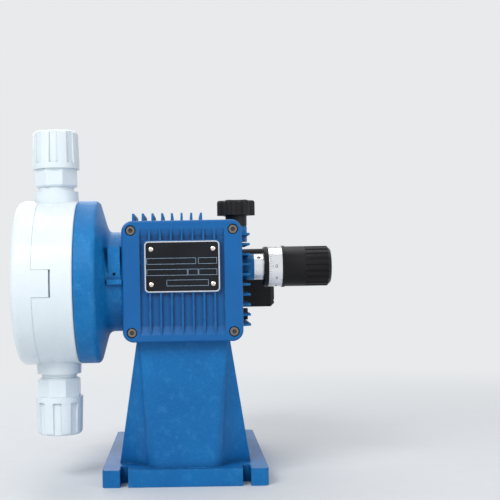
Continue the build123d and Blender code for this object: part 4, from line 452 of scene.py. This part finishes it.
def paint_nodes(frame, finishes):
    """Gives every CAD node its finish; returns the screws' zinc."""
    knob_low, knob_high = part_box("stroke_knob")
    dial_centre = (0.0, 0.0, (knob_low.z + knob_high.z) / 2)
    motor_low, motor_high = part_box("rotor")
    motor_centre = (0.0, 0.0, (motor_low.z + motor_high.z) / 2)
    wheel_low, wheel_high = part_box("worm_wheel")
    wheel_centre = tuple((wheel_low + wheel_high) / 2)
    rod_low, rod_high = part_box("push_rod")
    rod_centre = tuple((rod_low + rod_high) / 2)
    x_axis, y_axis, z_axis = (1.0, 0.0, 0.0), (0.0, 1.0, 0.0), (0.0, 0.0, 1.0)
    origin = (0.0, 0.0, 0.0)

    casting = finishes.cast_paint(
        "casting_paint", CASTING_BLUE, CASTING_BLUE_DEEP,
        grain=520.0, strength=1.0, roughness=0.42, thin=0.26,
    )
    fine_casting = finishes.cast_paint(
        "pedestal_paint", PEDESTAL_BLUE, PEDESTAL_BLUE_DEEP,
        grain=800.0, strength=0.7, roughness=0.4, thin=0.16,
    )
    cover = finishes.smooth_paint("cover_paint", COVER_BLUE, COVER_BLUE_DEEP, roughness=0.32)

    white = finishes.plastic(
        "head_plastic", HEAD_WHITE, HEAD_WHITE_SHADE,
        roughness=0.22, grain=900.0, strength=0.05, rub=0.25, corner_shade=HEAD_CORNER_SHADE, shine=0.4,
    )
    knob = finishes.plastic(
        "knob_plastic", KNOB_BLACK, KNOB_BLACK_WORN,
        roughness=0.3, grain=1500.0, strength=0.12, rub=0.4, shine=0.18,
    )
    box = finishes.plastic(
        "box_plastic", BOX_BLACK, BOX_BLACK_WORN,
        roughness=0.42, grain=1100.0, strength=0.25, rub=0.4, shine=0.25,
    )
    plate = finishes.plastic(
        "plate_black", PLATE_BLACK, PLATE_BLACK_WORN,
        roughness=0.24, grain=1800.0, strength=0.04, rub=0.3, shine=0.25,
    )
    rubber = finishes.plastic(
        "seal_rubber", SEAL_BLACK, SEAL_BLACK_WORN, roughness=0.6, grain=1300.0, strength=0.3, rub=0.4
    )
    ceramic = finishes.plastic(
        "valve_ceramic", CERAMIC_CREAM, CERAMIC_CREAM_WORN,
        roughness=0.12, grain=1600.0, strength=0.03, rub=0.2,
    )
    diaphragm = finishes.plastic(
        "diaphragm_skin", DIAPHRAGM_WHITE, DIAPHRAGM_WHITE_WORN,
        roughness=0.35, grain=700.0, strength=0.15, rub=0.3,
    )

    chrome = finishes.metal(
        "dial_chrome", CHROME, CHROME_STAINED, x_axis, dial_centre, roughness=0.12, strength=0.12
    )
    sleeve = finishes.metal(
        "sleeve_aluminium", ALUMINIUM, ALUMINIUM_STAINED, x_axis, dial_centre, roughness=0.24, strength=0.3
    )
    screw = finishes.metal("screw_zinc", ZINC, ZINC_STAINED, y_axis, origin, roughness=0.3, strength=0.2)
    rivet = finishes.metal(
        "rivet_steel", RIVET_STEEL, RIVET_STEEL_STAINED, y_axis, origin, roughness=0.2, strength=0.1
    )
    shaft = finishes.metal(
        "motor_shaft_steel", SHAFT_STEEL, SHAFT_STEEL_STAINED, y_axis, motor_centre,
        roughness=0.22, strength=0.35,
    )
    wheel_steel = finishes.metal(
        "wheel_shaft_steel", SHAFT_STEEL, SHAFT_STEEL_STAINED, z_axis, wheel_centre,
        roughness=0.22, strength=0.35,
    )
    rod_steel = finishes.metal(
        "push_rod_steel", ROD_STEEL, ROD_STEEL_STAINED, x_axis, rod_centre, roughness=0.18, strength=0.35
    )
    bronze = finishes.metal(
        "wheel_bronze", BRONZE, BRONZE_STAINED, z_axis, wheel_centre, roughness=0.3, strength=0.3
    )
    windings = finishes.windings("stator_windings")

    families = {
        casting: "gear_case motor_flange motor_frame rear_shield",
        fine_casting: "pedestal",
        cover: "case_cover fan_cowl",
        white: "pump_head head_cover discharge_valve discharge_tail discharge_cap"
        " suction_valve suction_tail suction_cap",
        knob: "stroke_knob drum_ring",
        box: "terminal_box terminal_lid cable_gland filler_cap fan",
        plate: "nameplate",
        rubber: "cover_gasket filler_seal discharge_seal suction_seal",
        ceramic: "discharge_seat discharge_ball suction_seat suction_ball",
        diaphragm: "diaphragm",
        chrome: "scale_drum",
        sleeve: "scale_sleeve stop_rod",
        screw: "cover_screws pedestal_screws drain_plug head_bolts lid_screws lock_screw",
        rivet: "nameplate_rivets",
        shaft: "worm_shaft rotor worm_front_bearing worm_rear_bearing motor_rear_bearing",
        wheel_steel: "eccentric_shaft eccentric_bearing wheel_bearings",
        rod_steel: "push_rod follower spring_seat spring_collar return_spring support_plate",
        bronze: "worm_wheel rod_bush",
        windings: "stator",
    }
    for material, names in families.items():
        for name in names.split():
            shown = frame["nodes"][name].data
            shown.materials.clear()
            shown.materials.append(material)
    return screw


def ink(name, colour, roughness, metallic):
    """Printed or engraved marks, with the small misses that a stamp leaves."""
    material, network, shader = new_material(name)
    misses = network.span(network.noise(network.place(), 1500.0, 3.0, 0.7), 0.35, 0.55)
    pale = tuple(min(255, c + 30) for c in colour)
    network.feed(shader.inputs["Base Color"], network.blend(misses, linear(pale), linear(colour)))
    rough = network.span(misses, 0.0, 1.0, roughness + 0.15, roughness)
    network.feed(shader.inputs["Roughness"], rough)
    shader.inputs["Metallic"].default_value = metallic
    return material


def new_piece(name, corners, faces, material, body):
    """A mesh piece that rides on a body."""
    mesh = bpy.data.meshes.new(name)
    mesh.from_pydata(corners, [], faces)
    mesh.update()
    piece = bpy.data.objects.new(name, mesh)
    bpy.context.scene.collection.objects.link(piece)
    piece.data.materials.append(material)
    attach(piece, body)
    return piece


def rounded_outline(half_width, half_height, radius, steps=6):
    """Corner points of a rounded rectangle, anticlockwise."""
    outline = []
    for turn, (side, up) in enumerate(((1, 1), (-1, 1), (-1, -1), (1, -1))):
        centre = (side * (half_width - radius), up * (half_height - radius))
        for step in range(steps + 1):
            angle = math.radians(90 * (turn + step / steps))
            outline.append((centre[0] + radius * math.cos(angle), centre[1] + radius * math.sin(angle)))
    return outline


def plate_frame(corners, faces, middle, front, half_width, half_height, radius, width, rise):
    """Adds a raised closed line that follows a rounded rectangle on the nameplate's face."""
    outer = rounded_outline(half_width, half_height, radius)
    inner = rounded_outline(half_width - width, half_height - width, max(radius - width, SHARPEST_CORNER))
    start = len(corners)
    count = len(outer)
    for outline, depth in ((outer, 0.0), (outer, rise), (inner, rise), (inner, 0.0)):
        corners.extend((middle[0] + x, front - depth, middle[1] + z) for x, z in outline)
    for row in range(3):
        for step in range(count):
            after = (step + 1) % count
            first = start + row * count
            second = first + count
            faces.append((first + step, first + after, second + after, second + step))


def rule_nameplate():
    """The plate's silver edge and its empty ruled boxes."""
    low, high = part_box("nameplate")
    middle = ((low.x + high.x) / 2, (low.z + high.z) / 2)
    half_width, half_height = (high.x - low.x) / 2, (high.z - low.z) / 2
    front = low.y
    corners, faces = [], []
    plate_frame(
        corners, faces, middle, front, half_width, half_height,
        PLATE_CORNER, PLATE_EDGE_WIDTH, PLATE_EDGE_RISE,
    )
    silver = ink("plate_silver", PLATE_SILVER, 0.3, 0.9)
    new_piece("nameplate_edge", corners, faces, silver, "pump")

    corners, faces = [], []
    for rise, ends in RULED_ROWS.items():
        for left, right in ends:
            centre = (middle[0] + half_width * (left + right) / 2, middle[1] + half_height * rise)
            half_box = (half_width * (right - left) / 2, RULED_ROW_HEIGHT / 2)
            plate_frame(corners, faces, centre, front, *half_box, RULING_CORNER, RULING_WIDTH, RULING_RISE)
    line = ink("plate_ruling", PLATE_LINE, 0.4, 0.0)
    new_piece("nameplate_rulings", corners, faces, line, "pump")


def wrap_on_drum(along, around, radius, centre):
    """A point on the dial's rim: along the knob's axis, and around from the front."""
    angle = around / radius
    return (along, centre[0] - radius * math.cos(angle), centre[1] + radius * math.sin(angle))


def mark_dial():
    """Division lines and plain numbers round the scale drum."""
    low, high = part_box("scale_drum")
    radius = (high.z - low.z) / 2 + MARK_RISE
    centre = ((low.y + high.y) / 2, (low.z + high.z) / 2)
    girth = 2 * math.pi * radius
    corners, faces = [], []
    for division in range(DIAL_DIVISIONS):
        around = girth * division / DIAL_DIVISIONS
        numbered = division % (DIAL_DIVISIONS // DIAL_NUMBERS) == 0
        length = DIAL_LONG_MARK if numbered else DIAL_SHORT_MARK
        start = low.x + DIAL_MARK_START
        first = len(corners)
        for x in (start, start + length):
            for side in (-0.5, 0.5):
                corners.append(wrap_on_drum(x, around + side * DIAL_MARK_WIDTH, radius, centre))
        faces.append((first, first + 1, first + 3, first + 2))
        if numbered:
            number = str(division * DIAL_NUMBERS // DIAL_DIVISIONS)
            number_dial(corners, faces, number, around, radius, centre)
    dark = ink("dial_marks", DIAL_INK, 0.5, 0.0)
    new_piece("dial_marks", corners, faces, dark, "stroke_knob_set")


def number_dial(corners, faces, digits, around, radius, centre):
    """Adds one number, wrapped on the rim beyond its long mark."""
    writing = bpy.data.curves.new("digits", "FONT")
    writing.body = digits
    writing.size = DIAL_NUMBER_SIZE
    writing.align_x = "CENTER"
    writing.align_y = "CENTER"
    holder = bpy.data.objects.new("digits", writing)
    flat = bpy.data.meshes.new_from_object(holder)
    low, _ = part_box("scale_drum")
    line = low.x + DIAL_NUMBER_START
    first = len(corners)
    for vertex in flat.vertices:
        corners.append(wrap_on_drum(line + vertex.co.x, around + vertex.co.y, radius, centre))
    faces.extend(tuple(first + v for v in face.vertices) for face in flat.polygons)
    bpy.data.meshes.remove(flat)
    bpy.data.objects.remove(holder)
    bpy.data.curves.remove(writing)


def index_sleeve():
    """The line on the sleeve's rim that the dial's marks are read against."""
    low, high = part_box("scale_sleeve")
    drum_low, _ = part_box("scale_drum")
    radius = (high.z - low.z) / 2 + MARK_RISE
    centre = ((low.y + high.y) / 2, (low.z + high.z) / 2)
    corners = []
    for x in (drum_low.x - INDEX_LENGTH, drum_low.x - INDEX_GAP):
        for side in (-0.5, 0.5):
            corners.append(wrap_on_drum(x, side * INDEX_WIDTH, radius, centre))
    red = ink("index_line", INDEX_RED, 0.45, 0.0)
    new_piece("sleeve_index", corners, [(0, 1, 3, 2)], red, "pump")


def hex_reach(angle, radius):
    """How far a hexagon of a given corner radius reaches at an angle."""
    turn = (angle + math.pi / 6) % (math.pi / 3) - math.pi / 6
    return radius * math.cos(math.pi / 6) / math.cos(turn)


def hex_screw(corners, faces, foot, outward, along, radius, height):
    """Adds a hex head with a pressed washer, standing on a foot point."""
    across = outward.cross(along)
    start = len(corners)
    levels = (
        (0.0, lambda angle: WASHER_SHARE * radius),
        (WASHER_HEIGHT, lambda angle: WASHER_SHARE * radius),
        (WASHER_HEIGHT, lambda angle: hex_reach(angle, radius)),
        (height - CROWN_DEPTH_SHARE * radius, lambda angle: hex_reach(angle, radius)),
        (height, lambda angle: CROWN_SHARE * radius),
    )
    for rise, reach in levels:
        for side in range(SCREW_SIDES):
            angle = 2 * math.pi * side / SCREW_SIDES
            out = along * math.cos(angle) + across * math.sin(angle)
            corners.append(tuple(foot + outward * rise + out * reach(angle)))
    for level in range(len(levels) - 1):
        for side in range(SCREW_SIDES):
            after = (side + 1) % SCREW_SIDES
            row = start + level * SCREW_SIDES
            faces.append((row + side, row + after, row + after + SCREW_SIDES, row + side + SCREW_SIDES))
    top = start + (len(levels) - 1) * SCREW_SIDES
    faces.append(tuple(top + side for side in range(SCREW_SIDES)))


def fasten_cowl(material):
    """Hex screws round the mouth of the fan cowl."""
    low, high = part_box("fan_cowl")
    middle = Vector(((low.x + high.x) / 2, low.y + COWL_SCREW_INSET, (low.z + high.z) / 2))
    radius = (high.z - low.z) / 2 - COWL_SCREW_SUNK
    corners, faces = [], []
    for screw in range(COWL_SCREWS):
        angle = 2 * math.pi * (screw + 0.5) / COWL_SCREWS
        outward = Vector((math.cos(angle), 0.0, math.sin(angle)))
        foot = middle + outward * radius
        along = Vector((0.0, 1.0, 0.0))
        hex_screw(corners, faces, foot, outward, along, COWL_SCREW_RADIUS, COWL_SCREW_HEIGHT)
    new_piece("cowl_screws", corners, faces, material, "pump")


def straight_sight(network):
    """1 where the camera, a reflection or glass shows the backdrop, 0 where it only lights."""
    paths = network.add("LightPath").outputs
    seen = network.math("MAXIMUM", paths["Is Camera Ray"], paths["Is Glossy Ray"])
    return network.math("MAXIMUM", seen, paths["Is Transmission Ray"])


def pale_studio():
    """Floor, world and lamps."""
    material, network, shader = new_material("pale_floor")
    place = network.place()
    mottle = network.noise(place, 40.0, 4.0)
    tone = network.blend(mottle, linear(FLOOR_PALE), linear(tuple(c - 3 for c in FLOOR_PALE)))
    network.feed(shader.inputs["Base Color"], tone)
    network.feed(shader.inputs["Roughness"], network.span(mottle, 0.0, 1.0, 0.7, 0.85))
    far = network.span(network.vector("LENGTH", place), *FLOOR_FADE)
    seen = straight_sight(network)
    pale = network.add("Emission", {"Color": linear(BACKDROP_PALE)})
    mix = network.add("MixShader", {0: network.math("MULTIPLY", far, seen)})
    network.feed(mix.inputs[1], shader.outputs["BSDF"])
    network.feed(mix.inputs[2], pale.outputs["Emission"])
    output = next(n for n in material.node_tree.nodes if n.bl_idname == "ShaderNodeOutputMaterial")
    network.feed(output.inputs["Surface"], mix.outputs["Shader"])

    mesh = bpy.data.meshes.new("studio_floor")
    corners = [(x * FLOOR_REACH, y * FLOOR_REACH, 0) for x, y in ((-1, -1), (1, -1), (1, 1), (-1, 1))]
    mesh.from_pydata(corners, [], [(0, 1, 2, 3)])
    floor = bpy.data.objects.new("studio_floor", mesh)
    mesh.materials.append(material)
    bpy.context.scene.collection.objects.link(floor)

    world = bpy.data.worlds.new("pale_room")
    bpy.context.scene.world = world
    world.use_nodes = True
    world.node_tree.nodes.clear()
    network = Network(world.node_tree)
    room = network.add("Background", {"Color": ROOM_COLOUR, "Strength": ROOM_STRENGTH})
    back = network.add("Background", {"Color": linear(BACKDROP_PALE)})
    mix = network.add("MixShader", {0: straight_sight(network), 1: room.outputs[0], 2: back.outputs[0]})
    network.add("OutputWorld", {"Surface": mix.outputs[0]})

    for name, settings in LAMPS.items():
        soft_lamp(name, *settings)


def soft_lamp(name, place, aim, size, power):
    """A square soft box that looks at a point."""
    lamp = bpy.data.lights.new(name, "AREA")
    lamp.shape = "SQUARE"
    lamp.size = size
    lamp.energy = power
    holder = bpy.data.objects.new(name, lamp)
    holder.location = place
    holder.rotation_euler = (Vector(aim) - Vector(place)).to_track_quat("-Z", "Y").to_euler()
    bpy.context.scene.collection.objects.link(holder)


def aim_camera():
    """The camera, level and square to the cover, with a slight roll."""
    lens = bpy.data.cameras.new("camera")
    lens.lens = CAMERA_LENS
    lens.sensor_width = CAMERA_SENSOR
    lens.shift_x, lens.shift_y = CAMERA_SHIFT
    lens.clip_start = 0.01
    camera = bpy.data.objects.new("camera", lens)
    level = Matrix.Rotation(math.pi / 2, 4, "X")
    camera.matrix_world = Matrix.Translation(CAMERA_PLACE) @ level @ Matrix.Rotation(CAMERA_ROLL, 4, "Z")
    bpy.context.scene.collection.objects.link(camera)
    bpy.context.scene.camera = camera


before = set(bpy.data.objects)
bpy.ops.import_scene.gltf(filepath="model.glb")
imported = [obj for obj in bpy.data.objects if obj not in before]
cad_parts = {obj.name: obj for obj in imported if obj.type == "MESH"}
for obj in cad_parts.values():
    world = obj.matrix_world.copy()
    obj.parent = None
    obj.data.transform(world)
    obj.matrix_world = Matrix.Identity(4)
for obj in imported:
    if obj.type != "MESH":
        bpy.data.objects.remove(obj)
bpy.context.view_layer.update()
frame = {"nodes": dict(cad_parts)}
bpy.context.scene.view_settings.view_transform = "Standard"
finishes = Finishes()
zinc = paint_nodes(frame, finishes)
rule_nameplate()
mark_dial()
index_sleeve()
fasten_cowl(zinc)
pale_studio()
aim_camera()
